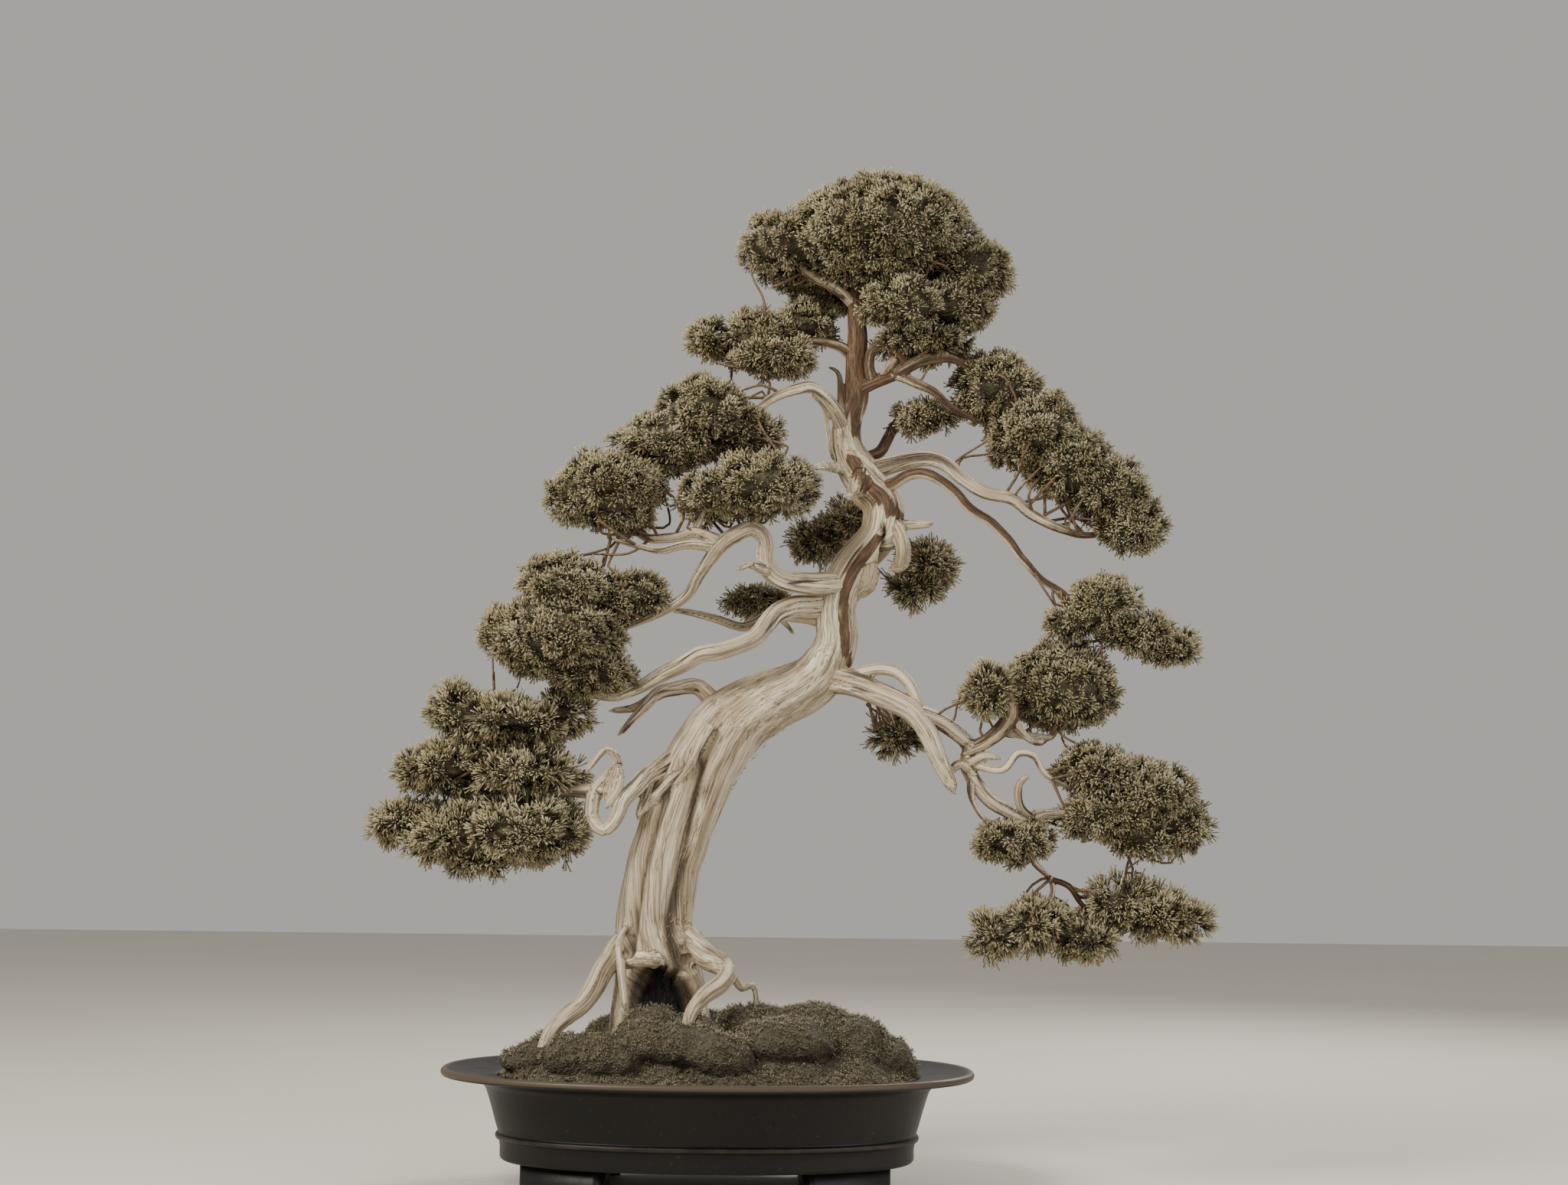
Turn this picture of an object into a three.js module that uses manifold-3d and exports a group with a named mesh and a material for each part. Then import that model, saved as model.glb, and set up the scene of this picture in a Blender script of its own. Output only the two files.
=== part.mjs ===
// A trained juniper of great age in a wide-lipped oval pot.
// Millimetres, +Z up, -Y is the side it is shown from.  The table is Z = 0.
import * as THREE from 'three';
import { mergeVertices } from 'three/addons/utils/BufferGeometryUtils.js';
import Module from 'manifold-3d';

const wasm = await Module();
wasm.setup();

// ---- sizes of the pot --------------------------------------------------------------------
const potLength = 498;          // over the lip, along X
const potDepth = 340;           // over the lip, along Y
const potHeight = 110;          // table to the top of the lip
const lipWidth = 43;            // how far the lip stands out from the wall
const lipThickness = 7;
const lipRise = 6;              // the lip's outer edge is higher than its inner edge
const wallThickness = 9;
const wallBatter = 13;          // the wall draws in this much from the lip to the base
const floorThickness = 10;
const beadSize = 3;             // the raised line round the wall
const beadHeight = 48;
const bandHeight = 14;          // the plain band round the base
const footHeight = 26;
const footWidth = 20;
const footGap = 96;             // length of each opening between two feet
const drainHoleSize = 26;
const drainHoleSpacing = 170;
const ovalFullness = 2.25;      // 2 is a plain ellipse, larger is squarer

// ---- sizes of what fills the pot ----------------------------------------------------------
const screenSize = 44;
const screenThickness = 1.6;
const screenBar = 3;
const screenCells = 3;
const soilDrop = 5;             // soil at the wall lies this much below the lip's inner edge
const soilRise = 44;            // the mound's top above the soil at the wall
const mossThickness = 26;

// ---- sizes of the tree ----------------------------------------------------------------------
const treeHeight = 860;         // from the soil at the wall to the top of the crown
const canopySpread = 790;       // width over the foliage
const canopyDepth = 250;        // front to back over the foliage
const trunkThickness = 70;      // halfway up the lower trunk
const limbThickness = 20;       // of a main limb where it leaves the trunk
const foliageThickness = 66;    // height of the largest foliage pad on a side limb

const gap = 0.3;                // between two pieces that touch

// The tree's points below are given for a tree of these sizes.
const drawnSoil = 98;
const drawn = { height: 860, spread: 790, depth: 250, trunk: 70, limb: 20, foliage: 66 };

const colours = {
  glaze: 0x1f1a17,
  screen: 0x23211f,
  soil: 0x40372c,
  moss: 0x5f5a45,
  bark: 0x8f7a5c,
  deadwood: 0xc9b895,
  foliage: 0x77725a,
};

// ---- solids -----------------------------------------------------------------------------------

// A closed three.js geometry as a solid with its faces out.
function solidOf(geometry) {
  const bare = new THREE.BufferGeometry();
  bare.setAttribute('position', geometry.getAttribute('position'));
  if (geometry.index) {
    bare.setIndex(geometry.index);
  }
  const merged = mergeVertices(bare, 1e-4);
  const corners = Array.from(merged.index.array);
  const kept = [];
  for (let i = 0; i < corners.length; i += 3) {
    const [a, b, c] = corners.slice(i, i + 3);
    if (a !== b && b !== c && c !== a) {
      kept.push(a, b, c);
    }
  }
  const build = (triangles) => new wasm.Manifold(new wasm.Mesh({
    numProp: 3,
    vertProperties: new Float32Array(merged.getAttribute('position').array),
    triVerts: new Uint32Array(triangles),
  }));
  const made = build(kept);
  if (made.volume() > 0) {
    return made;
  }
  return build(kept.slice().reverse());
}

function joined(solids) {
  return solids.reduce((whole, next) => whole.add(next));
}

function without(solid, others) {
  return others.reduce((left, next) => left.subtract(next), solid);
}

// The main body of a solid that a cut may have left with loose crumbs.
function mainBody(solid) {
  const bodies = solid.decompose();
  bodies.sort((a, b) => b.volume() - a.volume());
  return bodies[0];
}

function meshOf(name, solid, colour, roughness) {
  const made = mainBody(solid).getMesh();
  const geometry = new THREE.BufferGeometry();
  geometry.setAttribute('position', new THREE.BufferAttribute(new Float32Array(made.vertProperties), 3));
  geometry.setIndex(new THREE.BufferAttribute(new Uint32Array(made.triVerts), 1));
  geometry.computeVertexNormals();
  const material = new THREE.MeshStandardMaterial({ color: colour, roughness });
  const mesh = new THREE.Mesh(geometry, material);
  mesh.name = name;
  return mesh;
}

// ---- the oval pot -------------------------------------------------------------------------------

const halfLength = potLength / 2;
const lessDepth = (potLength - potDepth) / 2;

function full(value) {
  return Math.sign(value) * Math.abs(value) ** (2 / ovalFullness);
}

// A turned profile of [radius, height] pairs pressed into the pot's oval plan.
// Outside the middle, every point keeps its distance from the lip's edge all the way round.
function ovalSolid(profile, segments = 44) {
  const points = profile.map(([radius, height]) => new THREE.Vector2(radius, height));
  const geometry = new THREE.LatheGeometry(points, segments);
  geometry.rotateX(Math.PI / 2);
  const position = geometry.getAttribute('position');
  const inner = lessDepth * 2;
  for (let i = 0; i < position.count; i += 1) {
    const x = position.getX(i);
    const y = position.getY(i);
    const radius = Math.hypot(x, y);
    const depthRadius = radius > inner ? radius - lessDepth : radius / 2;
    const turn = Math.atan2(y, x);
    const across = Math.cos(turn);
    const along = Math.sin(turn);
    position.setX(i, radius * (Math.abs(across) < 1e-9 ? 0 : full(across)));
    position.setY(i, depthRadius * (Math.abs(along) < 1e-9 ? 0 : full(along)));
  }
  return solidOf(geometry);
}

const wallTop = halfLength - lipWidth;
const wallFoot = wallTop - wallBatter;
const lipEdge = potHeight - lipThickness / 2;
const lipInner = potHeight - lipRise;
const floorTop = footHeight + floorThickness;
const openingRadius = wallTop - wallThickness;

// The inside of the pot, from the lip down to the floor, as [radius, height].
function insideProfile(clearance) {
  return [
    [openingRadius - clearance, lipInner - 8],
    [openingRadius - 2 - clearance, floorTop + 26],
    [wallFoot - wallThickness - 2 - clearance, floorTop + 9],
    [wallFoot - wallThickness - 12 - clearance, floorTop + clearance],
  ];
}

function potSolid() {
  const bead = beadHeight;
  const profile = [
    [0, footHeight],
    [wallFoot - 8, footHeight],
    [wallFoot - 2, footHeight + 1.5],
    [wallFoot, footHeight + 4],
    [wallFoot, footHeight + bandHeight - 2],
    [wallFoot + 1, bead - beadSize - 1],
    [wallFoot + 1.5 + beadSize, bead - beadSize / 2],
    [wallFoot + 1.5 + beadSize, bead + beadSize / 2],
    [wallFoot + 2, bead + beadSize + 0.5],
    [wallFoot + 4, bead + 10],
    [wallTop - 2, lipInner - 22],
    [wallTop + 1, lipInner - 11],
    [wallTop + 8, lipInner - lipThickness],
    [halfLength - 14, lipEdge - lipThickness / 2 - 1],
    [halfLength - 4, lipEdge - lipThickness / 2 + 0.5],
    [halfLength - 0.8, lipEdge - 1.5],
    [halfLength, lipEdge],
    [halfLength - 0.8, lipEdge + 2],
    [halfLength - 4, potHeight],
    [halfLength - 8, potHeight - 0.6],
    [halfLength - 26, potHeight - 4],
    [openingRadius + 6, lipInner],
    [openingRadius + 1.5, lipInner - 2],
    ...insideProfile(0),
    [0, floorTop],
  ];
  const holes = [-1, 1].map((side) => {
    const hole = new THREE.CylinderGeometry(drainHoleSize / 2, drainHoleSize / 2, floorThickness * 3, 24);
    hole.rotateX(Math.PI / 2);
    hole.translate(side * drainHoleSpacing / 2, 0, footHeight + floorThickness / 2);
    return solidOf(hole);
  });
  return without(ovalSolid(profile).add(footRing()), holes);
}

// A foot ring cut into four curved feet, one at each corner of the oval.
function footRing() {
  const outer = wallFoot - 9;
  const ring = ovalSolid([
    [outer - footWidth, 0],
    [outer - 3, 0],
    [outer - 1, 2],
    [outer, footHeight + 2],
    [outer - footWidth - 2, footHeight + 2],
    [outer - footWidth, 0],
  ], 36);
  const cuts = [
    new THREE.BoxGeometry(footGap * 2, potDepth, footHeight * 2),
    new THREE.BoxGeometry(potLength, footGap, footHeight * 2),
  ];
  return without(ring, cuts.map((cut) => solidOf(cut.translate(0, 0, -0.01))));
}

// ---- drainage screens ---------------------------------------------------------------------------

function screenSolid(side) {
  const pitch = (screenSize - screenBar) / screenCells;
  const cells = [];
  for (let column = 0; column < screenCells; column += 1) {
    for (let row = 0; row < screenCells; row += 1) {
      const cell = new THREE.BoxGeometry(pitch - screenBar, pitch - screenBar, screenThickness * 2);
      const middleCell = (screenCells - 1) / 2;
      cell.translate((column - middleCell) * pitch, (row - middleCell) * pitch, 0);
      cells.push(solidOf(cell));
    }
  }
  const plate = solidOf(new THREE.BoxGeometry(screenSize, screenSize, screenThickness));
  const height = floorTop + gap + screenThickness / 2;
  return without(plate, cells).translate(side * drainHoleSpacing / 2, 0, height);
}

function screenRoom(side) {
  const room = new THREE.BoxGeometry(screenSize + 2 * gap, screenSize + 2 * gap, screenThickness + 4 * gap);
  room.translate(side * drainHoleSpacing / 2, 0, floorTop + gap + screenThickness / 2);
  return solidOf(room);
}

// ---- soil and moss ------------------------------------------------------------------------------

const soilEdge = lipInner - soilDrop;

function soilTop(part) {
  return soilEdge + soilRise * (1 - part ** 3);
}

function soilSolid(clearance, lift) {
  const sides = insideProfile(clearance).reverse();
  const edge = sides[sides.length - 1][0];
  const steps = [0.84, 0.66, 0.46, 0.24];
  return ovalSolid([
    [0, sides[0][1]],
    ...sides.slice(0, -1),
    [edge, soilEdge + lift],
    ...steps.map((part) => [edge * part, soilTop(part) + lift]),
    [0, soilTop(0) + lift],
  ]);
}

// One rounded lump: rounder above than below.
function lump([x, y, z, wide, deep, high], detail, more, flat = 0.75) {
  const geometry = new THREE.IcosahedronGeometry(1, detail);
  const position = geometry.getAttribute('position');
  for (let i = 0; i < position.count; i += 1) {
    const up = position.getZ(i);
    position.setX(i, x + position.getX(i) * (wide + more));
    position.setY(i, y + position.getY(i) * (deep + more));
    position.setZ(i, z + (up < 0 ? up * flat : up) * (high + more));
  }
  return solidOf(geometry);
}

// Places on the pot's soil: [x, y] as shares of the soil's half length and half depth,
// then the lump's half width and half depth in the drawn pot.  Moss swells above the soil,
// and the last number, where there is one, is how much higher than usual it swells.
const drawnOpening = 197;
const mossPlaces = {
  moss_far_left: [[-0.84, -0.2, 30, 26, -8], [-0.7, -0.28, 32, 28, -5]],
  moss_front_left: [[-0.6, -0.52, 34, 28], [-0.44, -0.66, 30, 26], [-0.28, -0.56, 30, 28]],
  moss_front: [[-0.1, -0.62, 32, 28], [0.06, -0.74, 32, 24]],
  moss_foot: [[-0.26, -0.42, 34, 22, 8], [-0.06, -0.44, 30, 20]],
  moss_mound: [[0.22, -0.04, 40, 38, 3], [0.5, -0.02, 44, 46, 8], [0.36, -0.44, 44, 36]],
  moss_right: [[0.7, -0.1, 32, 38, 9], [0.84, -0.06, 26, 28, 2], [0.92, -0.05, 14, 20]],
  moss_back: [[-0.38, 0.6, 52, 34], [-0.02, 0.66, 48, 32], [0.36, 0.6, 48, 34]],
};

function mossSolid(places, more) {
  const halfDepth = openingRadius - lessDepth;
  return joined(places.map(([across, along, wide, deep, swell = 0]) => {
    const part = Math.min(1, Math.hypot(across, along));
    const place = [across * openingRadius, along * halfDepth, soilTop(part)];
    const spread = openingRadius / drawnOpening;
    const high = mossThickness * (0.7 + 0.3 * wide / 44) + swell;
    return lump([...place, wide * spread, deep * spread, high], 1, more, 0.6);
  }));
}

// ---- wood ---------------------------------------------------------------------------------------

const across = canopySpread / drawn.spread;
const upward = treeHeight / drawn.height;
const inward = canopyDepth / drawn.depth;

// A point of the drawn tree at the size it is now.
function placed([x, y, z]) {
  return new THREE.Vector3(x * across, y * inward, soilEdge + (z - drawnSoil) * upward);
}

// A stem of changing thickness through the points [x, y, z, thickness].
// more is added all round, and ridges gives the twisted flutes of old wood.
function stem(points, { sides = 6, steps = 2, more = 0, scale = 1, ridges = 0, start = 0 } = {}) {
  const curve = new THREE.CatmullRomCurve3(points.map(placed), false, 'centripetal');
  const rings = (points.length - 1) * steps;
  const geometry = new THREE.CylinderGeometry(1, 1, 1, sides, rings);
  const frames = [];
  let side = new THREE.Vector3(1, 0, 0);
  for (let ring = 0; ring <= rings; ring += 1) {
    const part = ring / rings;
    const along = curve.getTangent(part).normalize();
    side = side.clone().addScaledVector(along, -side.dot(along)).normalize();
    const before = Math.min(points.length - 2, Math.floor(part * (points.length - 1)));
    const share = part * (points.length - 1) - before;
    const thickness = points[before][3] * (1 - share) + points[before + 1][3] * share;
    frames.push({
      centre: curve.getPoint(part),
      side,
      other: new THREE.Vector3().crossVectors(along, side),
      radius: thickness * scale / 2,
    });
  }
  const position = geometry.getAttribute('position');
  const spare = more / Math.cos(Math.PI / sides);
  for (let i = 0; i < position.count; i += 1) {
    const turn = Math.atan2(position.getZ(i), position.getX(i));
    const fromAxis = Math.hypot(position.getX(i), position.getZ(i));
    const ring = Math.round((position.getY(i) + 0.5) * rings);
    const { centre, side: one, other, radius } = frames[ring];
    const flute = 1 + ridges * Math.cos(3 * turn + start + ring * 0.35);
    const reach = fromAxis * (radius * flute + spare);
    const point = centre.clone()
      .addScaledVector(one, Math.cos(turn) * reach)
      .addScaledVector(other, Math.sin(turn) * reach);
    position.setXYZ(i, point.x, point.y, point.z);
  }
  return solidOf(geometry);
}

const trunkScale = trunkThickness / drawn.trunk;
const limbScale = limbThickness / drawn.limb;

// The trunk's middle line, from under the soil to inside the crown.
const trunkLine = [
  [-42, 4, 104, 100], [-43, 4, 140, 100], [-45, 3, 176, 90], [-50, 2, 212, 75], [-54, 2, 250, 71],
  [-48, 2, 292, 70], [-33, 2, 338, 70], [-13, 0, 384, 71], [15, 0, 427, 72], [57, -2, 455, 59],
  [97, -3, 478, 50], [116, -3, 512, 41], [116, -3, 547, 38], [130, -6, 580, 38], [155, -6, 610, 38],
  [161, -2, 642, 41], [145, 0, 667, 43], [129, -2, 691, 34], [125, -4, 718, 28], [132, -6, 748, 25],
  [133, -8, 778, 21], [134, -8, 810, 19], [133, -10, 846, 15], [137, -14, 884, 12], [142, -18, 918, 8],
];
// Buttress roots, and short dead stubs along the upper trunk.
const rootLines = [
  [[-66, 0, 238, 28], [-86, -8, 220, 24], [-95, -16, 205, 21], [-106, -26, 185, 20], [-117, -34, 168, 19],
    [-130, -40, 158, 18], [-144, -44, 144, 15], [-154, -48, 120, 11]],
  [[-24, -4, 232, 28], [-8, -16, 217, 26], [10, -28, 207, 22], [19, -38, 200, 18], [12, -44, 190, 18],
    [-2, -50, 181, 17], [-11, -56, 171, 15], [-17, -63, 156, 12], [-18, -66, 138, 9]],
  [[6, -30, 205, 13], [22, -34, 197, 9], [31, -26, 185, 7], [41, -21, 188, 6], [44, -17, 174, 6],
    [45, -15, 150, 5]],
  [[-42, 18, 212, 30], [-40, 44, 172, 28], [-30, 68, 138, 22], [-20, 84, 106, 14]],
];
const stubLines = [
  [[126, -6, 677, 13], [106, -14, 679, 9], [92, -18, 677, 6]],
  [[158, -6, 624, 14], [184, -14, 624, 10], [207, -16, 625, 7]],
];
const trunkKnot = [137, -12, 664, 15, 14, 14];
// The rotted hollow at the foot of the trunk, open to the front.
const trunkHollow = [-42, -50, 172, 32, 26, 28];

// Every limb: its thickest stem first, each stem starting inside the one that it grows from.
const limbLines = {
  low_left_branch: [
    [[-24, -2, 404, 26], [-50, -20, 389, 20], [-66, -32, 376, 17], [-80, -42, 358, 15], [-88, -46, 340, 14],
      [-99, -45, 330, 13], [-110, -41, 342, 14], [-109, -36, 362, 15], [-97, -33, 379, 16],
      [-87, -33, 393, 9],
      [-99, -35, 405, 7], [-117, -37, 384, 5]],
    [[-104, -36, 366, 15], [-136, -26, 366, 12], [-165, -20, 363, 10], [-198, -20, 360, 8],
      [-230, -20, 366, 5]],
    [[-198, -20, 360, 7], [-213, -20, 390, 6], [-205, -20, 424, 4]],
    [[-165, -20, 363, 8], [-184, -24, 344, 6], [-196, -24, 326, 4]],
    [[-57, -26, 382, 10], [-64, -32, 358, 8], [-68, -35, 340, 5]],
  ],
  left_jin_branch: [
    [[14, 12, 440, 22], [-12, 25, 468, 18], [-38, 20, 467, 15], [-56, 10, 459, 13], [-70, 0, 443, 9],
      [-90, -8, 420, 5]],
    [[-54, 12, 460, 11], [-76, 14, 448, 9], [-100, 12, 444, 5]],
  ],
  middle_left_branch: [
    [[108, -5, 546, 26], [62, -30, 538, 21], [37, -45, 509, 19], [9, -45, 498, 18], [-12, -40, 495, 17],
      [-36, -30, 482, 16], [-58, -25, 471, 14], [-78, -20, 462, 12], [-98, -20, 455, 10],
      [-136, -22, 462, 6]],
    [[-78, -20, 462, 10], [-102, -16, 480, 7], [-126, -22, 496, 5]],
  ],
  back_left_branch: [
    [[112, 6, 534, 18], [84, 42, 540, 14], [55, 60, 544, 12], [27, 66, 532, 10], [-18, 60, 543, 8],
      [-46, 46, 546, 5]],
    [[30, 66, 533, 8], [38, 78, 546, 6], [34, 88, 556, 4]],
    [[60, 58, 543, 8], [70, 72, 534, 6], [76, 84, 526, 4]],
  ],
  upper_left_branch: [
    [[128, -6, 568, 26], [87, -30, 564, 21], [60, -45, 568, 18], [48, -50, 582, 17], [47, -50, 602, 16],
      [35, -50, 612, 16], [18, -50, 607, 17], [2, -50, 593, 15], [-14, -43, 570, 12], [-26, -36, 552, 11],
      [-45, -30, 539, 10], [-64, -25, 529, 8], [-88, -20, 520, 5]],
    [[8, -50, 600, 13], [-18, -46, 610, 11], [-32, -42, 606, 10], [-60, -32, 606, 9], [-76, -27, 613, 6],
      [-92, -24, 624, 4]],
    [[0, -50, 596, 10], [-26, -58, 596, 9], [-50, -57, 591, 8], [-73, -50, 596, 6], [-98, -42, 604, 4]],
    [[35, -50, 612, 9], [42, -53, 626, 7], [44, -55, 642, 4]],
    [[-18, -46, 610, 8], [-12, -46, 626, 6], [-6, -46, 640, 4]],
    [[62, -44, 570, 11], [38, -60, 577, 8], [20, -70, 572, 5]],
  ],
  arching_jin: [
    [[125, -4, 712, 17], [111, -24, 735, 14], [92, -32, 752, 12], [74, -34, 750, 11], [54, -36, 742, 10],
      [38, -38, 726, 8], [27, -40, 705, 5]],
  ],
  top_left_branch: [
    [[132, -8, 788, 13], [113, -14, 798, 10], [74, -18, 801, 8], [46, -18, 800, 7], [8, -20, 802, 4]],
    [[113, -14, 798, 8], [96, 6, 806, 6], [84, 14, 814, 4]],
  ],
  shoulder_right_branch: [
    [[133, -8, 756, 16], [151, -14, 763, 14], [171, -20, 770, 13], [195, -28, 781, 12], [224, -28, 782, 9],
      [250, -24, 768, 5]],
    [[168, -20, 769, 11], [204, -24, 753, 9], [224, -20, 738, 8], [250, -14, 724, 5]],
    [[160, -18, 767, 11], [170, -22, 784, 9], [184, -20, 797, 5]],
  ],
  inner_right_branch: [
    [[134, 2, 690, 13], [157, 20, 700, 12], [170, 28, 723, 11], [186, 28, 741, 9], [212, 20, 732, 5]],
  ],
  right_branch: [
    [[144, -2, 676, 21], [171, -10, 684, 18], [199, -20, 688, 16], [219, -24, 682, 15], [235, -25, 667, 14],
      [257, -24, 655, 13], [283, -20, 649, 12], [303, -15, 635, 11], [328, -10, 623, 9], [355, -2, 617, 7],
      [382, 0, 622, 5]],
  ],
  right_long_branch: [
    [[156, -4, 660, 15], [170, -20, 663, 13], [186, -28, 671, 12], [206, -34, 669, 11], [226, -40, 653, 10],
      [242, -40, 637, 10], [261, -37, 625, 9], [277, -32, 609, 9], [292, -30, 590, 8], [309, -25, 572, 7],
      [328, -24, 560, 7], [350, -26, 545, 5], [384, -22, 536, 4]],
  ],
  lower_right_jin: [
    [[100, -2, 478, 32], [138, -15, 469, 25], [162, -24, 458, 23], [187, -30, 445, 21], [205, -35, 420, 19],
      [214, -36, 398, 17], [222, -36, 380, 14], [227, -36, 370, 9]],
    [[126, -8, 480, 13], [162, -24, 484, 12], [183, -30, 472, 12], [197, -30, 444, 10]],
    [[146, -6, 464, 9], [168, 32, 446, 7], [180, 56, 426, 4]],
  ],
  lower_right_branch: [
    [[186, -30, 446, 16], [202, -28, 441, 17], [224, -20, 430, 17], [243, -13, 413, 15], [240, -14, 398, 13],
      [245, -15, 386, 14], [255, -15, 372, 15], [271, -14, 358, 15], [295, -10, 346, 14], [312, -6, 349, 12],
      [338, -2, 350, 8], [356, 0, 345, 7], [380, 0, 338, 5]],
    [[240, -14, 409, 14], [260, -22, 419, 15], [274, -28, 430, 17], [281, -32, 444, 16], [277, -32, 457, 13],
      [266, -32, 463, 8]],
    [[302, -10, 346, 8], [291, -20, 355, 8], [287, -26, 368, 8], [290, -28, 380, 7], [299, -28, 386, 4]],
    [[276, -25, 428, 10], [300, -15, 423, 8], [321, -6, 423, 7], [331, 0, 440, 4]],
    [[245, -15, 386, 9], [245, -22, 366, 7], [252, -24, 350, 6], [266, -20, 334, 4]],
    [[244, -14, 398, 10], [266, -28, 390, 8], [277, -33, 392, 8], [286, -34, 405, 8], [302, -32, 403, 7],
      [314, -28, 386, 6], [340, -14, 374, 4]],
  ],
  right_cascade_branch: [
    [[294, -10, 346, 9], [301, -10, 318, 7], [306, -10, 303, 7], [320, -10, 289, 6], [321, -10, 273, 6],
      [312, -12, 262, 5], [302, -13, 246, 4]],
    [[318, -10, 290, 6], [337, -10, 283, 6], [350, -6, 266, 5], [364, -2, 258, 5], [390, 0, 261, 3]],
  ],
  inner_back_left_twig: [
    [[142, 6, 606, 12], [128, 32, 612, 8], [112, 56, 618, 5]],
  ],
  inner_back_right_twig: [
    [[158, 6, 622, 12], [182, 32, 606, 8], [198, 48, 592, 5]],
  ],
  crown_left_branch: [
    [[133, -9, 836, 13], [112, -14, 856, 11], [88, -14, 866, 9], [64, -12, 886, 4]],
  ],
  crown_right_branch: [
    [[134, -9, 828, 13], [160, -20, 838, 11], [194, -18, 840, 9], [232, -10, 858, 4]],
  ],
};

// ---- foliage ------------------------------------------------------------------------------------

const foliageScale = foliageThickness / drawn.foliage;

// Every pad as rounded lumps [x, y, z, half width, half depth, half height].
const padLumps = {
  crown_pad: [[156, -18, 900, 92, 92, 58], [62, -8, 892, 44, 58, 36], [243, -6, 868, 40, 58, 36],
    [222, -14, 832, 42, 50, 29], [176, -54, 826, 40, 32, 26], [128, 52, 880, 74, 60, 44],
    [202, 46, 858, 58, 54, 40]],
  top_left_pad: [[-8, -2, 801, 26, 30, 19], [38, 0, 802, 42, 50, 30], [82, 16, 817, 31, 46, 27],
    [54, -20, 780, 42, 42, 18]],
  upper_left_high_pad: [[-12, -22, 723, 45, 52, 37], [-48, -8, 697, 48, 62, 31], [24, -16, 706, 30, 36, 26],
    [44, -18, 704, 18, 24, 20]],
  upper_left_low_pad: [[-101, -34, 650, 52, 64, 33], [-134, -26, 640, 28, 40, 25],
    [-94, -32, 626, 34, 46, 20]],
  upper_left_inner_pad: [[46, -52, 648, 50, 56, 33], [-2, -44, 642, 31, 48, 27]],
  middle_left_pad: [[-140, -36, 552, 45, 60, 32], [-148, -36, 505, 62, 76, 44], [-196, -26, 512, 26, 38, 23],
    [-112, -26, 474, 42, 48, 20], [-95, -28, 545, 32, 36, 25], [-70, -26, 550, 24, 30, 21]],
  low_left_upper_pad: [[-198, -20, 428, 60, 52, 20], [-243, -16, 439, 22, 30, 22],
    [-143, -16, 436, 24, 32, 18]],
  low_left_middle_pad: [[-252, -18, 382, 40, 46, 23], [-176, -20, 380, 52, 50, 20]],
  low_left_lower_pad: [[-174, -24, 325, 56, 60, 31], [-240, -20, 321, 44, 48, 28],
    [-290, -16, 333, 28, 30, 18],
    [-218, -18, 303, 34, 34, 18]],
  back_left_pad: [[40, 88, 556, 34, 34, 15], [76, 86, 534, 24, 28, 15]],
  inner_back_left_pad: [[134, 64, 634, 24, 28, 20], [103, 62, 614, 29, 32, 18]],
  inner_back_right_pad: [[205, 52, 590, 28, 32, 23], [194, 48, 568, 25, 28, 18]],
  inner_right_pad: [[198, 20, 730, 30, 32, 16]],
  shoulder_pad: [[198, -8, 798, 46, 44, 17]],
  right_high_pad: [[270, 8, 756, 42, 56, 38], [307, 6, 711, 46, 64, 42]],
  right_low_pad: [[341, 4, 680, 42, 60, 38], [378, 4, 657, 38, 52, 35], [400, 2, 622, 30, 42, 28]],
  long_branch_pad: [[366, -26, 544, 34, 42, 29], [340, -24, 530, 25, 32, 20], [405, -20, 518, 34, 38, 24],
    [434, -16, 504, 22, 26, 18]],
  lower_right_top_pad: [[333, 14, 466, 55, 62, 46]],
  lower_right_tuft: [[259, -30, 460, 22, 24, 24]],
  lower_right_back_pad: [[182, 62, 422, 26, 30, 20]],
  lower_right_outer_pad: [[363, 0, 388, 38, 50, 28], [414, 0, 365, 46, 56, 35], [443, 4, 337, 28, 38, 28],
    [378, -4, 346, 46, 52, 27], [407, 0, 325, 38, 44, 20]],
  lower_right_inner_pad: [[283, -12, 321, 37, 42, 23]],
  cascade_left_pad: [[305, -14, 244, 34, 38, 21], [272, -14, 234, 25, 30, 17], [348, -12, 232, 34, 34, 16]],
  cascade_right_pad: [[385, -4, 265, 28, 34, 22], [419, -2, 255, 36, 36, 22], [448, 0, 249, 22, 26, 17]],
};

function padSolid(lumps, more) {
  return joined(lumps.map(([x, y, z, wide, deep, high]) => {
    const centre = placed([x, y, z]);
    const size = [wide * across, deep * inward, high * foliageScale * upward];
    return lump([centre.x, centre.y, centre.z, ...size], wide > 44 ? 2 : 1, more);
  }));
}

// ---- putting it together ------------------------------------------------------------------------

function trunkSolid(more) {
  const trunk = stem(trunkLine, { sides: 11, more, scale: trunkScale, ridges: 0.07 });
  const roots = rootLines.map((line) => stem(line, { more, scale: trunkScale }));
  const stubs = stubLines.map((line) => stem(line, { steps: 1, more, scale: limbScale }));
  const place = placed(trunkKnot);
  const knotSize = trunkKnot.slice(3).map((size) => size * trunkScale);
  const knot = lump([place.x, place.y, place.z, ...knotSize], 1, more, 1);
  return joined([trunk, ...roots, ...stubs, knot]);
}

function hollowSolid() {
  const centre = placed(trunkHollow);
  const size = trunkHollow.slice(3).map((value) => value * trunkScale);
  return lump([centre.x, centre.y * trunkScale, centre.z, ...size], 2, 0, 1);
}

function limbSolid(lines, more) {
  return joined(lines.map((line, order) => stem(line, {
    sides: order === 0 ? 6 : 5,
    steps: order === 0 && line.length < 10 ? 2 : 1,
    more,
    scale: limbScale,
  })));
}

// Pieces are made in order, and each new one is cut clear of all those that it meets.
const made = [];

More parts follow.
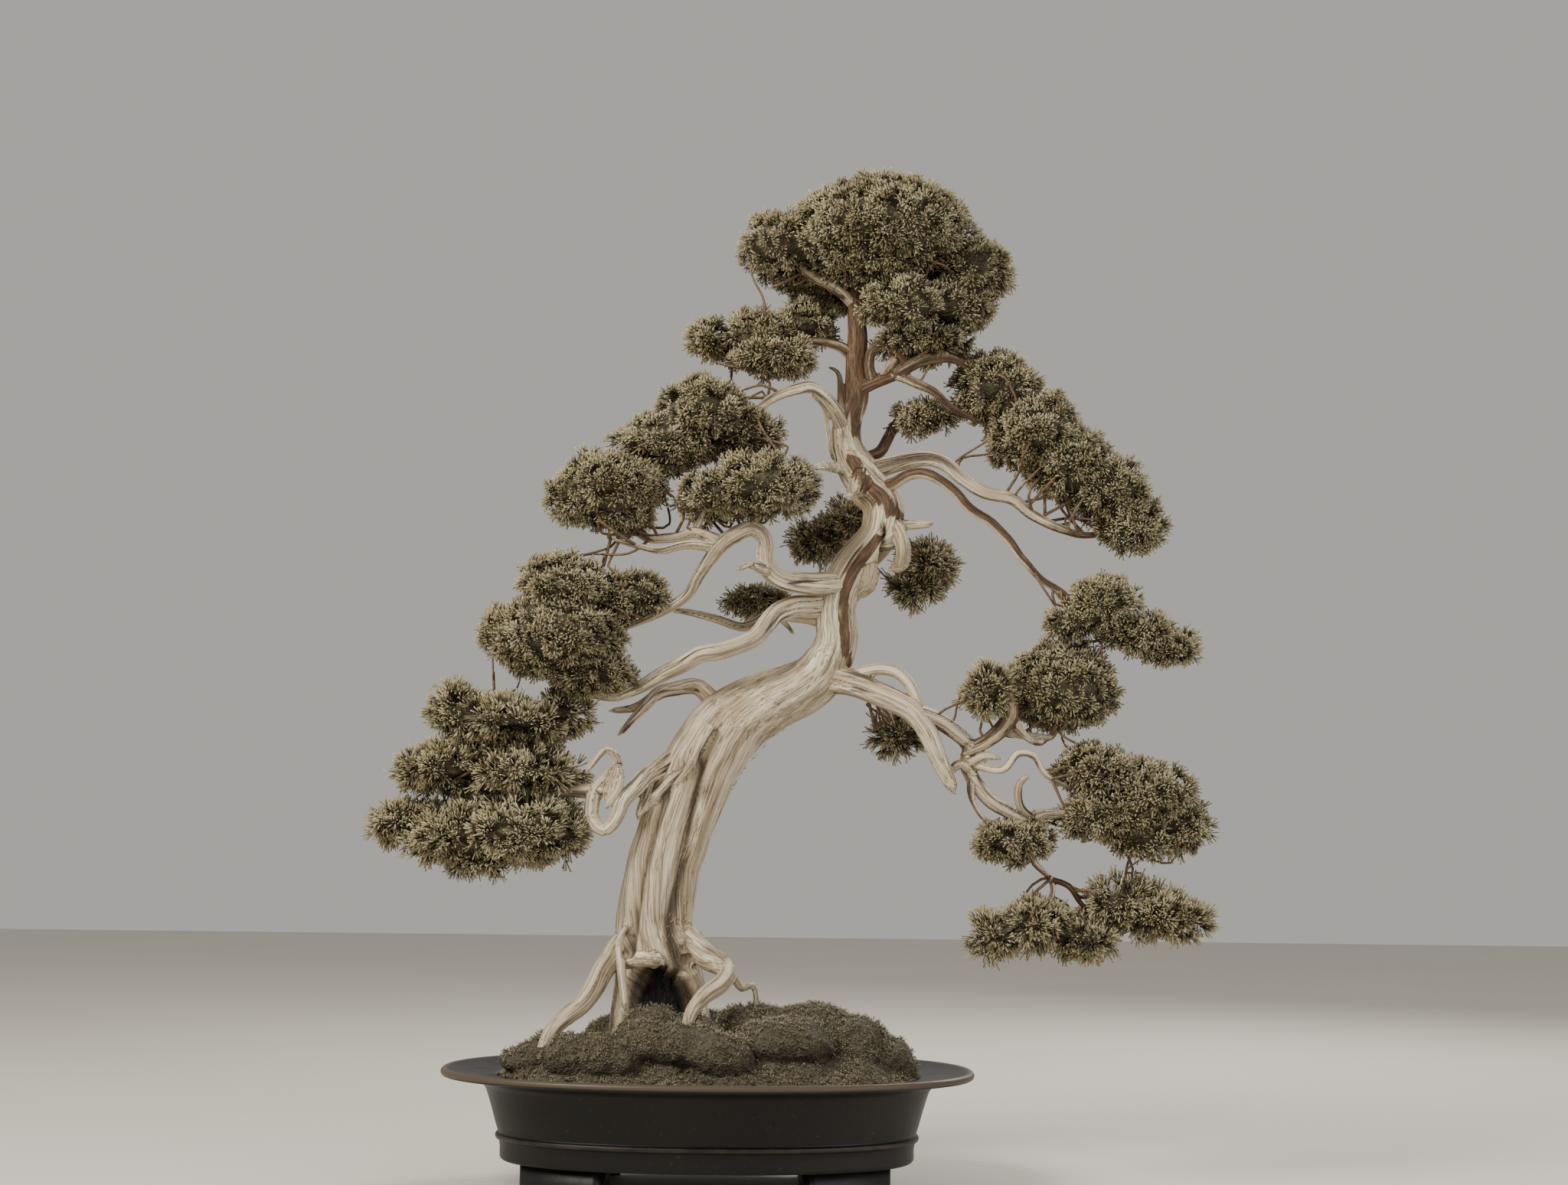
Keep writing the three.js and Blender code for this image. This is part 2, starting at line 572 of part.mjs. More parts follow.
function add(name, shape, colour, roughness, extraRoom = []) {
  const box = shape(0).boundingBox();
  const near = made.filter(({ bounds }) => [0, 1, 2].every(
    (axis) => bounds.min[axis] - 1 < box.max[axis] && bounds.max[axis] + 1 > box.min[axis],
  ));
  const cut = without(shape(0), [...near.map((piece) => piece.room), ...extraRoom]);
  const mesh = meshOf(name, cut, colour, roughness);
  made.push({ room: shape(gap), bounds: shape(gap).boundingBox(), mesh });
}

const group = new THREE.Group();
group.name = 'bonsai_tree_in_pot';

// The trunk stands in the soil, so the soil is cut to fit round it.
add('trunk', (more) => without(trunkSolid(more), more ? [] : [hollowSolid()]), colours.deadwood, 0.7);
const trunkRoom = made[0].room;

// Soil: clear of the pot all round, of the trunk's foot and of the screens.
const soil = without(soilSolid(gap, 0), [trunkRoom, screenRoom(-1), screenRoom(1)]);
const soilMesh = meshOf('soil', soil, colours.soil, 0.95);
const soilRoom = soilSolid(0, gap);

// Moss: on the soil, inside the pot's opening.
const mossColumn = ovalSolid([
  [0, soilEdge - 30],
  [openingRadius - 2 - gap, soilEdge - 30],
  [openingRadius - 2 - gap, potHeight + 80],
  [0, potHeight + 80],
]);
const mossMeshes = [];
let mossRooms = [];
for (const [name, places] of Object.entries(mossPlaces)) {
  const body = without(mossSolid(places, 0).intersect(mossColumn), [soilRoom, trunkRoom, ...mossRooms]);
  mossMeshes.push(meshOf(name, body, colours.moss, 0.95));
  mossRooms = [...mossRooms, mossSolid(places, gap)];
}

for (const [name, lines] of Object.entries(limbLines)) {
  const dead = name.includes('jin');
  add(name, (more) => limbSolid(lines, more), dead ? colours.deadwood : colours.bark, 0.75);
}
for (const [name, lumps] of Object.entries(padLumps)) {
  add(name, (more) => padSolid(lumps, more), colours.foliage, 0.9);
}

const pieces = [
  meshOf('pot', potSolid(), colours.glaze, 0.3),
  meshOf('drain_screen_left', screenSolid(-1), colours.screen, 0.6),
  meshOf('drain_screen_right', screenSolid(1), colours.screen, 0.6),
  soilMesh,
  ...mossMeshes,
  ...made.map((piece) => piece.mesh),
];

// The part's own origin is the middle of its footprint, on the table.
const whole = new THREE.Box3();
for (const mesh of pieces) {
  mesh.geometry.computeBoundingBox();
  whole.union(mesh.geometry.boundingBox);
}
const middle = whole.getCenter(new THREE.Vector3());
for (const mesh of pieces) {
  mesh.geometry.translate(-middle.x, -middle.y, -whole.min.z);
  group.add(mesh);
}

export default group;
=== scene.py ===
import math
import random

import bmesh
import bpy
import numpy as np
from mathutils import Matrix, Vector, noise


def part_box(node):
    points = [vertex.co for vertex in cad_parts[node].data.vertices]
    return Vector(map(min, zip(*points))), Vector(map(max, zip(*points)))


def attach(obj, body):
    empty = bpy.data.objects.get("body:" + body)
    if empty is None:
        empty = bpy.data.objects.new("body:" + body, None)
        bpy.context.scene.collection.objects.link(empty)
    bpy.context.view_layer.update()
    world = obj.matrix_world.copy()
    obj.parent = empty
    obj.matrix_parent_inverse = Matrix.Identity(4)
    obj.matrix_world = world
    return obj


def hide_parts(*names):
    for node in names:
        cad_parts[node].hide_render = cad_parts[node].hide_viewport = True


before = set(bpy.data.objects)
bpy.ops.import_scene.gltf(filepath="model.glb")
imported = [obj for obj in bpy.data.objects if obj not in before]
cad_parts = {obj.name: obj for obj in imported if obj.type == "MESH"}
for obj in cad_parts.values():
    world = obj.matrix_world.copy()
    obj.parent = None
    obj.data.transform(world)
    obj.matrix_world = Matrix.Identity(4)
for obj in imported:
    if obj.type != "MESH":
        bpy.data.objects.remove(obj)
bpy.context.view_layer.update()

# ---- where things are ----
# The tree's own points are in millimetres from the middle of the pot's footprint.
MM = 0.001
POT_LOW, POT_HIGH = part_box("pot")
POT_MIDDLE = Vector(((POT_LOW.x + POT_HIGH.x) / 2, (POT_LOW.y + POT_HIGH.y) / 2, 0))
# How square the pot's oval is: 2 is a plain ellipse, larger is squarer.
FULLNESS = 2.25


def at(x, y, z):
    """A point of the tree, in metres in the row frame."""
    return POT_MIDDLE + Vector((x, y, z)) * MM


# ---- shader expressions ----
class Value:
    """A shader socket that takes part in Python expressions."""

    def __init__(self, finish, socket):
        self.finish = finish
        self.socket = socket

    def _maths(self, operation, *others):
        values = dict(enumerate((self, *others)))
        return self.finish.make("ShaderNodeMath", {"operation": operation}, values)[0]

    def __add__(self, other):
        return self._maths("ADD", other)

    __radd__ = __add__

    def __mul__(self, other):
        return self._maths("MULTIPLY", other)

    __rmul__ = __mul__

    def __sub__(self, other):
        return self._maths("SUBTRACT", other)

    def __rsub__(self, other):
        return (self * -1.0) + other

    def size(self):
        return self._maths("ABSOLUTE")

    def clamp(self):
        return self._maths("MAXIMUM", 0.0)._maths("MINIMUM", 1.0)

    def step(self, low, high):
        """0 below low, 1 above high, smooth between."""
        sockets = {"Value": self, "From Min": low, "From Max": high}
        settings = {"interpolation_type": "SMOOTHSTEP"}
        return self.finish.make("ShaderNodeMapRange", settings, sockets)["Result"]


class Made:
    """The outputs of a node."""

    def __init__(self, finish, node):
        self.finish = finish
        self.node = node

    def __getitem__(self, name):
        return Value(self.finish, self.node.outputs[name])


class Finish:
    """A material under construction."""

    def __init__(self, name):
        self.material = bpy.data.materials.new(name)
        self.material.use_nodes = True
        self.tree = self.material.node_tree
        self.shader = self.tree.nodes["Principled BSDF"]

    def make(self, kind, settings=None, sockets=None):
        node = self.tree.nodes.new(kind)
        for name, value in (settings or {}).items():
            if name == "stops":
                ramp = node.color_ramp
                while len(ramp.elements) < len(value):
                    ramp.elements.new(0.5)
                for element, (place, colour) in zip(ramp.elements, value):
                    element.position = place
                    element.color = colour
            else:
                setattr(node, name, value)
        for name, value in (sockets or {}).items():
            self.put(node.inputs[name], value)
        return Made(self, node)

    def put(self, socket, value):
        if isinstance(value, Value):
            self.tree.links.new(value.socket, socket)
        else:
            socket.default_value = value

    def blend(self, share, first, second, how="MIX"):
        settings = {"data_type": "RGBA", "blend_type": how}
        made = self.make("ShaderNodeMix", settings, {0: share, 6: first, 7: second})
        return made[2]

    def stretched(self, vector, x, y, z):
        settings = {"operation": "MULTIPLY"}
        return self.make("ShaderNodeVectorMath", settings, {0: vector, 1: (x, y, z)})[0]

    def cloud(self, vector, scale, detail=3.0, rough=0.5, warp=0.0):
        sockets = {"Vector": vector, "Scale": scale, "Detail": detail, "Roughness": rough,
                   "Distortion": warp}
        return self.make("ShaderNodeTexNoise", None, sockets)["Fac"]

    def cells(self, vector, scale):
        return self.make("ShaderNodeTexVoronoi", None, {"Vector": vector, "Scale": scale})["Distance"]

    def ramp(self, amount, *stops):
        """The colour for an amount, from stops of (amount, colour)."""
        return self.make("ShaderNodeValToRGB", {"stops": stops}, {"Fac": amount})["Color"]

    def place(self):
        return self.make("ShaderNodeTexCoord")["Object"]

    def attribute(self, name, output="Fac"):
        return self.make("ShaderNodeAttribute", {"attribute_name": name})[output]

    def bump(self, height, distance, strength=1.0):
        sockets = {"Height": height, "Distance": distance, "Strength": strength}
        return self.make("ShaderNodeBump", None, sockets)["Normal"]

    def surface(self, **sockets):
        for name, value in sockets.items():
            self.put(self.shader.inputs[name.replace("_", " ")], value)
        return self.material


def paint(red, green, blue):
    """A colour given as red, green and blue from 0 to 255, in the shader's own linear values."""
    def linear(part):
        part = part / 255
        return part / 12.92 if part <= 0.04045 else ((part + 0.055) / 1.055) ** 2.4
    return (linear(red), linear(green), linear(blue), 1.0)


def old_wood():
    """Bleached deadwood with live, darker veins of bark, from the grain of each stem."""
    finish = Finish("old_wood")
    grain = finish.attribute("grain", "Vector")
    crevice = finish.attribute("crevice")
    bark = finish.attribute("bark")
    fibre = finish.cloud(finish.stretched(grain, 1.0, 1.0, 0.05), 900, 4, 0.65, 0.3)
    streak = finish.cloud(finish.stretched(grain, 1.0, 1.0, 0.035), 210, 3, 0.6, 0.5)
    stain = finish.cloud(finish.place(), 26, 3, 0.6)
    fleck = finish.cloud(finish.stretched(grain, 1.0, 1.0, 0.2), 320, 3, 0.7)
    pale = finish.ramp(
        streak * 0.65 + fibre * 0.35, (0.25, paint(116, 98, 76)), (0.40, paint(176, 158, 130)),
        (0.55, paint(216, 202, 175)), (0.75, paint(240, 231, 209)))
    sweep = finish.cloud(finish.stretched(grain, 1.0, 1.0, 0.06), 60, 3, 0.6, 0.4)
    pale = finish.blend(sweep.step(0.42, 0.68) * 0.5, pale, paint(186, 170, 146), "MULTIPLY")
    pale = finish.blend(stain.step(0.5, 0.75) * 0.4, pale, paint(172, 156, 132), "MULTIPLY")
    check = finish.cloud(finish.stretched(grain, 1.0, 1.0, 0.02), 300, 2, 0.5, 0.9)
    check = 1.0 - (check - 0.5).size().step(0.004, 0.035)
    pale = finish.blend(check * 0.6, pale, paint(84, 63, 44))
    # Painted shade: creases, splits and worn channels are darkened, and the rotted hollow is painted near
    # black.
    pale = finish.blend(crevice.step(0.05, 0.75) * 0.9, pale, paint(52, 38, 26))
    pale = finish.blend(crevice.step(0.95, 1.4), pale, paint(15, 11, 8))
    rough_bark = finish.ramp(
        fleck * 0.6 + fibre * 0.4,
        (0.3, paint(46, 33, 24)), (0.5, paint(92, 70, 51)), (0.68, paint(140, 112, 83)))
    # Painted shade darkens the bark's creases.
    rough_bark = finish.blend(crevice.step(0.2, 0.9) * 0.7, rough_bark, paint(34, 24, 18))
    share = (bark + (fleck - 0.5) * 0.6).step(0.35, 0.65)
    height = fibre * 0.45 + streak * 0.55 + fleck * share * 0.8 - check * 0.5
    return finish.surface(
        Base_Color=finish.blend(share, pale, rough_bark),
        Roughness=streak * -0.2 + 0.78 + share * 0.08,
        Normal=finish.bump(height, 0.0011),
        Specular_IOR_Level=0.35,
    )


def leafy(name, dark, middle, tip, shade):
    """Living shoots: the map runs across the plant's shoots, and along each from base to tip."""
    finish = Finish(name)
    spot = finish.make("ShaderNodeUVMap", {"uv_map": "OFBake"})["UV"]
    parts = finish.make("ShaderNodeSeparateXYZ", None, {0: spot})
    shoot, along = parts["X"], parts["Y"]
    mottle = finish.cloud(finish.stretched(spot, 60.0, 1.5, 1.0), 9.0, 2, 0.6)
    # Each shoot goes from dark at its base to pale at its tip: paler new growth at the tips, and painted
    # shade at the bases deep among the shoots.
    green = finish.ramp(along + (mottle - 0.5) * 0.35, (0.05, dark), (0.45, middle), (0.95, tip))
    tone = finish.cloud(finish.stretched(spot, 37.0, 0.0, 1.0), 5.0, 1, 0.5)
    green = finish.blend(tone.step(0.35, 0.65) * 0.55, green, shade, "MULTIPLY")
    patch = finish.cloud(finish.place(), 30, 3, 0.6)
    green = finish.blend(patch.step(0.42, 0.62) * 0.6, green, shade, "MULTIPLY")
    return finish.surface(
        Base_Color=green,
        Roughness=shoot * 0.2 + 0.5,
        Normal=finish.bump(finish.cloud(finish.stretched(spot, 200.0, 14.0, 1.0), 4.0, 2), 0.0003, 0.6),
        Specular_IOR_Level=0.4,
    )


def undergrowth_and_painted_shade(name, dark, pale):
    """What lies under living shoots, dark between and paler on top: the moss's own mat, and inside the
    foliage pads a dark core that is painted shade.
    """
    finish = Finish(name)
    place = finish.place()
    tangle = finish.cells(place, 420)
    tone = finish.cloud(place, 130, 4, 0.7)
    colour = finish.ramp(tone * 0.7 + tangle * 0.35, (0.3, dark), (0.72, pale))
    return finish.surface(Base_Color=colour, Roughness=tone * 0.15 + 0.8,
                          Normal=finish.bump(tone + tangle, 0.002))


def twig_bark():
    finish = Finish("twig_bark")
    place = finish.place()
    flake = finish.cloud(place, 420, 3, 0.65)
    tone = finish.cloud(place, 60, 2)
    colour = finish.ramp(
        flake * 0.7 + tone * 0.3,
        (0.3, paint(54, 40, 29)), (0.55, paint(112, 89, 64)), (0.75, paint(160, 136, 103)))
    return finish.surface(Base_Color=colour, Roughness=flake * 0.2 + 0.65,
                          Normal=finish.bump(flake, 0.0005))


def dark_glaze():
    """Unglazed-looking dark clay with a soft sheen, paler on its raised lines: partly wear, partly a painted
    highlight on the lip's rounded edge and the bead.
    """
    finish = Finish("dark_glaze")
    place = finish.place()
    wear = finish.attribute("wear")
    broad = finish.cloud(place, 7, 3, 0.55)
    fine = finish.cloud(place, 260, 3, 0.6)
    drift = finish.cloud(finish.stretched(place, 1.0, 1.0, 0.25), 38, 3, 0.6, 0.6)
    body = finish.ramp(
        broad * 0.55 + drift * 0.45,
        (0.3, paint(10, 8, 7)), (0.52, paint(16, 13, 11)), (0.72, paint(27, 22, 18)))
    # Paler on the lip's rounded edge and on the bead: wear and painted highlight together.
    edge = (wear + (drift - 0.5) * 0.5).step(0.35, 0.85)
    body = finish.blend(edge * 0.5, body, paint(104, 88, 70))
    body = finish.blend(fine.step(0.62, 0.74) * 0.25, body, paint(92, 78, 64))
    return finish.surface(
        Base_Color=body,
        Roughness=(drift * 0.25 + fine * 0.12 + 0.3).clamp(),
        Normal=finish.bump(fine * 0.5 + drift * 0.5, 0.0005, 0.5),
        Coat_Weight=(broad * 0.16).clamp(),
        Coat_Roughness=0.3,
        Specular_IOR_Level=0.3,
    )


def damp_soil():
    finish = Finish("damp_soil")
    place = finish.place()
    crumb = finish.cells(place, 330)
    tone = finish.cloud(place, 90, 4, 0.65)
    colour = finish.ramp(
        tone * 0.7 + crumb * 0.4,
        (0.3, paint(30, 23, 17)), (0.5, paint(62, 50, 38)), (0.7, paint(104, 88, 68)))
    return finish.surface(Base_Color=colour, Roughness=tone * 0.15 + 0.8,
                          Normal=finish.bump(tone * 0.5 + crumb, 0.0016))


def screen_plastic():
    finish = Finish("screen_plastic")
    place = finish.place()
    scuff = finish.cloud(place, 500, 3, 0.6)
    dust = finish.cloud(place, 90, 2)
    colour = finish.blend(dust.step(0.45, 0.7) * 0.5, paint(30, 29, 28), paint(70, 62, 52))
    return finish.surface(Base_Color=colour, Roughness=scuff * 0.25 + 0.5,
                          Normal=finish.bump(scuff, 0.0002))


WOOD = old_wood()
FOLIAGE = leafy("juniper_foliage", paint(66, 60, 43), paint(138, 129, 100), paint(208, 197, 162),
                paint(178, 168, 140))
SHADE_CORE = undergrowth_and_painted_shade("foliage_heart", paint(34, 30, 20), paint(104, 95, 70))
MOSS = leafy("moss", paint(52, 48, 36), paint(116, 108, 84), paint(188, 178, 148), paint(170, 160, 134))
CUSHION = undergrowth_and_painted_shade("moss_cushion", paint(32, 29, 21), paint(94, 86, 66))
FIBRE = leafy("loose_fibre", paint(150, 126, 96), paint(206, 186, 150), paint(236, 222, 192),
              paint(196, 176, 144))
TWIG = twig_bark()
GLAZE = dark_glaze()
SOIL = damp_soil()
SCREEN = screen_plastic()


# ---- building helpers ----
def finished(name, mesh, material, replaced=(), slot=None, smooth=True):
    """Puts a mesh in the scene as a piece of the object."""
    piece = bpy.data.objects.new(name, mesh)
    bpy.context.scene.collection.objects.link(piece)
    mesh.materials.clear()
    mesh.materials.append(material)
    mesh.polygons.foreach_set("use_smooth", [smooth] * len(mesh.polygons))
    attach(piece, "root")
    if replaced:
        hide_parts(*replaced)
    return piece


def mesh_of(bm, name):
    mesh = bpy.data.meshes.new(name)
    bm.to_mesh(mesh)
    bm.free()
    return mesh


def with_modifiers(mesh, name, add):
    """The mesh after modifiers that add(object) puts on it."""
    holder = bpy.data.objects.new(name + "_making", mesh)
    bpy.context.scene.collection.objects.link(holder)
    add(holder)
    bpy.context.view_layer.update()
    graph = bpy.context.evaluated_depsgraph_get()
    done = bpy.data.meshes.new_from_object(holder.evaluated_get(graph))
    bpy.data.objects.remove(holder)
    return done


def remeshed(mesh, name, voxel):
    def add(holder):
        step = holder.modifiers.new("even_skin", "REMESH")
        step.mode = "VOXEL"
        step.voxel_size = voxel
        step.adaptivity = 0.0
    return with_modifiers(mesh, name, add)


def coordinates(mesh):
    values = np.empty(len(mesh.vertices) * 3)
    mesh.vertices.foreach_get("co", values)
    return values.reshape(-1, 3)


def normals_of(mesh):
    values = np.empty(len(mesh.vertices) * 3)
    mesh.vertex_normals.foreach_get("vector", values)
    return values.reshape(-1, 3)


def set_coordinates(mesh, values):
    mesh.vertices.foreach_set("co", np.ascontiguousarray(values).ravel())
    mesh.update()


def float_attribute(mesh, name, values):
    mesh.attributes.new(name, "FLOAT", "POINT").data.foreach_set("value", values)


# ---- stems: the middle line of every length of wood ----
# A fixed seed for the stems' wander, which would otherwise change from run to run.
noise.seed_set(7)


class Line:
    """A smooth middle line through points [x, y, z, thickness], with a frame at each sample."""

    def __init__(self, points, spacing=4.0, wander=0.0, seed=0):
        rng = random.Random(seed)
        spots = [Vector(p[:3]) for p in points]
        thick = [p[3] for p in points]
        spots = [spots[0] * 2 - spots[1], *spots, spots[-1] * 2 - spots[-2]]
        thick = [thick[0], *thick, thick[-1]]
        self.centres, self.radii = [], []
        for i in range(1, len(spots) - 2):
            a, b, c, d = spots[i - 1:i + 3]
            count = max(2, round((c - b).length / spacing))
            for k in range(count):
                t = k / count
                centre = (b * 2 + (c - a) * t + (a * 2 - b * 5 + c * 4 - d) * t ** 2
                          + (b * 3 - a - c * 3 + d) * t ** 3) / 2
                self.centres.append(centre)
                self.radii.append((thick[i] * (1 - t) + thick[i + 1] * t) / 2)
        self.centres.append(spots[-2])
        self.radii.append(thick[-2] / 2)
        if wander:
            seedling = Vector((rng.uniform(0, 90), rng.uniform(0, 90), rng.uniform(0, 90)))
            for i, centre in enumerate(self.centres[1:-1], 1):
                off = noise.noise_vector(centre / 26 + seedling)
                self.centres[i] = centre + off * wander * min(1.0, self.radii[i] / 4)
        self.frames()

    def frames(self):
        count = len(self.centres)
        self.tangents, self.sides, self.others, self.lengths = [], [], [], []
        side, travelled = Vector((1, 0, 0)), 0.0
        for i, centre in enumerate(self.centres):
            ahead = self.centres[min(i + 1, count - 1)] - self.centres[max(i - 1, 0)]
            ahead.normalize()
            side = (side - ahead * side.dot(ahead)).normalized()
            if i:
                travelled += (centre - self.centres[i - 1]).length
            self.tangents.append(ahead)
            self.sides.append(side.copy())
            self.others.append(ahead.cross(side))
            self.lengths.append(travelled)

    def matrix(self, i):
        """Where ring i lies, in metres in the row frame."""
        r = self.radii[i] * MM
        place = Matrix((self.sides[i] * r, self.others[i] * r, self.tangents[i] * r)).transposed()
        return Matrix.Translation(at(*self.centres[i])) @ place.to_4x4()


def skin(bm, line, sides, flute=0.0):
    """A closed stem along a line: one ring drawn along it to a point."""
    first = bmesh.ops.create_circle(bm, segments=sides, radius=1.0, matrix=line.matrix(0))
    ring = first["verts"]
    bmesh.ops.contextual_create(bm, geom=ring)
    edges = list({e for v in ring for e in v.link_edges})
    made = list(ring)
    for i in range(1, len(line.centres)):
        grown = bmesh.ops.extrude_edge_only(bm, edges=edges)["geom"]
        ring = [g for g in grown if isinstance(g, bmesh.types.BMVert)]
        edges = [g for g in grown if isinstance(g, bmesh.types.BMEdge)
                 and all(v in ring for v in g.verts)]
        move = line.matrix(i) @ line.matrix(i - 1).inverted_safe()
        bmesh.ops.transform(bm, matrix=move, verts=ring)
        made += ring
    if flute:
        for j, v in enumerate(made):
            i = j // sides
            centre = at(*line.centres[i])
            turn = 3 * math.tau * (j % sides) / sides + i * 0.12
            v.co = centre + (v.co - centre) * (1 + flute * math.cos(turn))
    tip = sum((v.co for v in ring), Vector()) / len(ring) + line.tangents[-1] * line.radii[-1] * MM
    bmesh.ops.pointmerge(bm, verts=ring, merge_co=tip)


# The middle line of every stem, as in the model under this one: [x, y, z, thickness].
TRUNK_LINE = [
    [-42, 4, 104, 100], [-43, 4, 140, 100], [-45, 3, 176, 90], [-50, 2, 212, 75], [-54, 2, 250, 71],
    [-48, 2, 292, 70], [-33, 2, 338, 70], [-13, 0, 384, 71], [15, 0, 427, 72], [57, -2, 455, 59],
    [97, -3, 478, 50], [116, -3, 512, 41], [116, -3, 547, 38], [130, -6, 580, 38], [155, -6, 610, 38],
    [161, -2, 642, 41], [145, 0, 667, 43], [129, -2, 691, 34], [125, -4, 718, 28], [132, -6, 748, 25],
    [133, -8, 778, 21], [134, -8, 810, 19], [133, -10, 846, 15], [137, -14, 884, 12], [142, -18, 918, 8],
]
ROOT_LINES = [
    [[-66, 0, 238, 28], [-86, -8, 220, 24], [-95, -16, 205, 21], [-106, -26, 185, 20],
     [-117, -34, 168, 19], [-130, -40, 158, 18], [-144, -44, 144, 15], [-154, -48, 120, 11]],
    [[-24, -4, 232, 28], [-8, -16, 217, 26], [10, -28, 207, 22], [19, -38, 200, 18], [12, -44, 190, 18],
     [-2, -50, 181, 17], [-11, -56, 171, 15], [-17, -63, 156, 12], [-18, -66, 138, 9]],
    [[6, -30, 205, 13], [22, -34, 197, 9], [31, -26, 185, 7], [41, -21, 188, 6], [44, -17, 174, 6],
     [45, -15, 150, 5]],
    [[-42, 18, 212, 30], [-40, 44, 172, 28], [-30, 68, 138, 22], [-20, 84, 106, 14]],
]
STUB_LINES = [
    [[126, -6, 677, 13], [106, -14, 679, 9], [92, -18, 677, 6]],
    [[158, -6, 624, 14], [184, -14, 624, 10], [207, -16, 625, 7]],
]
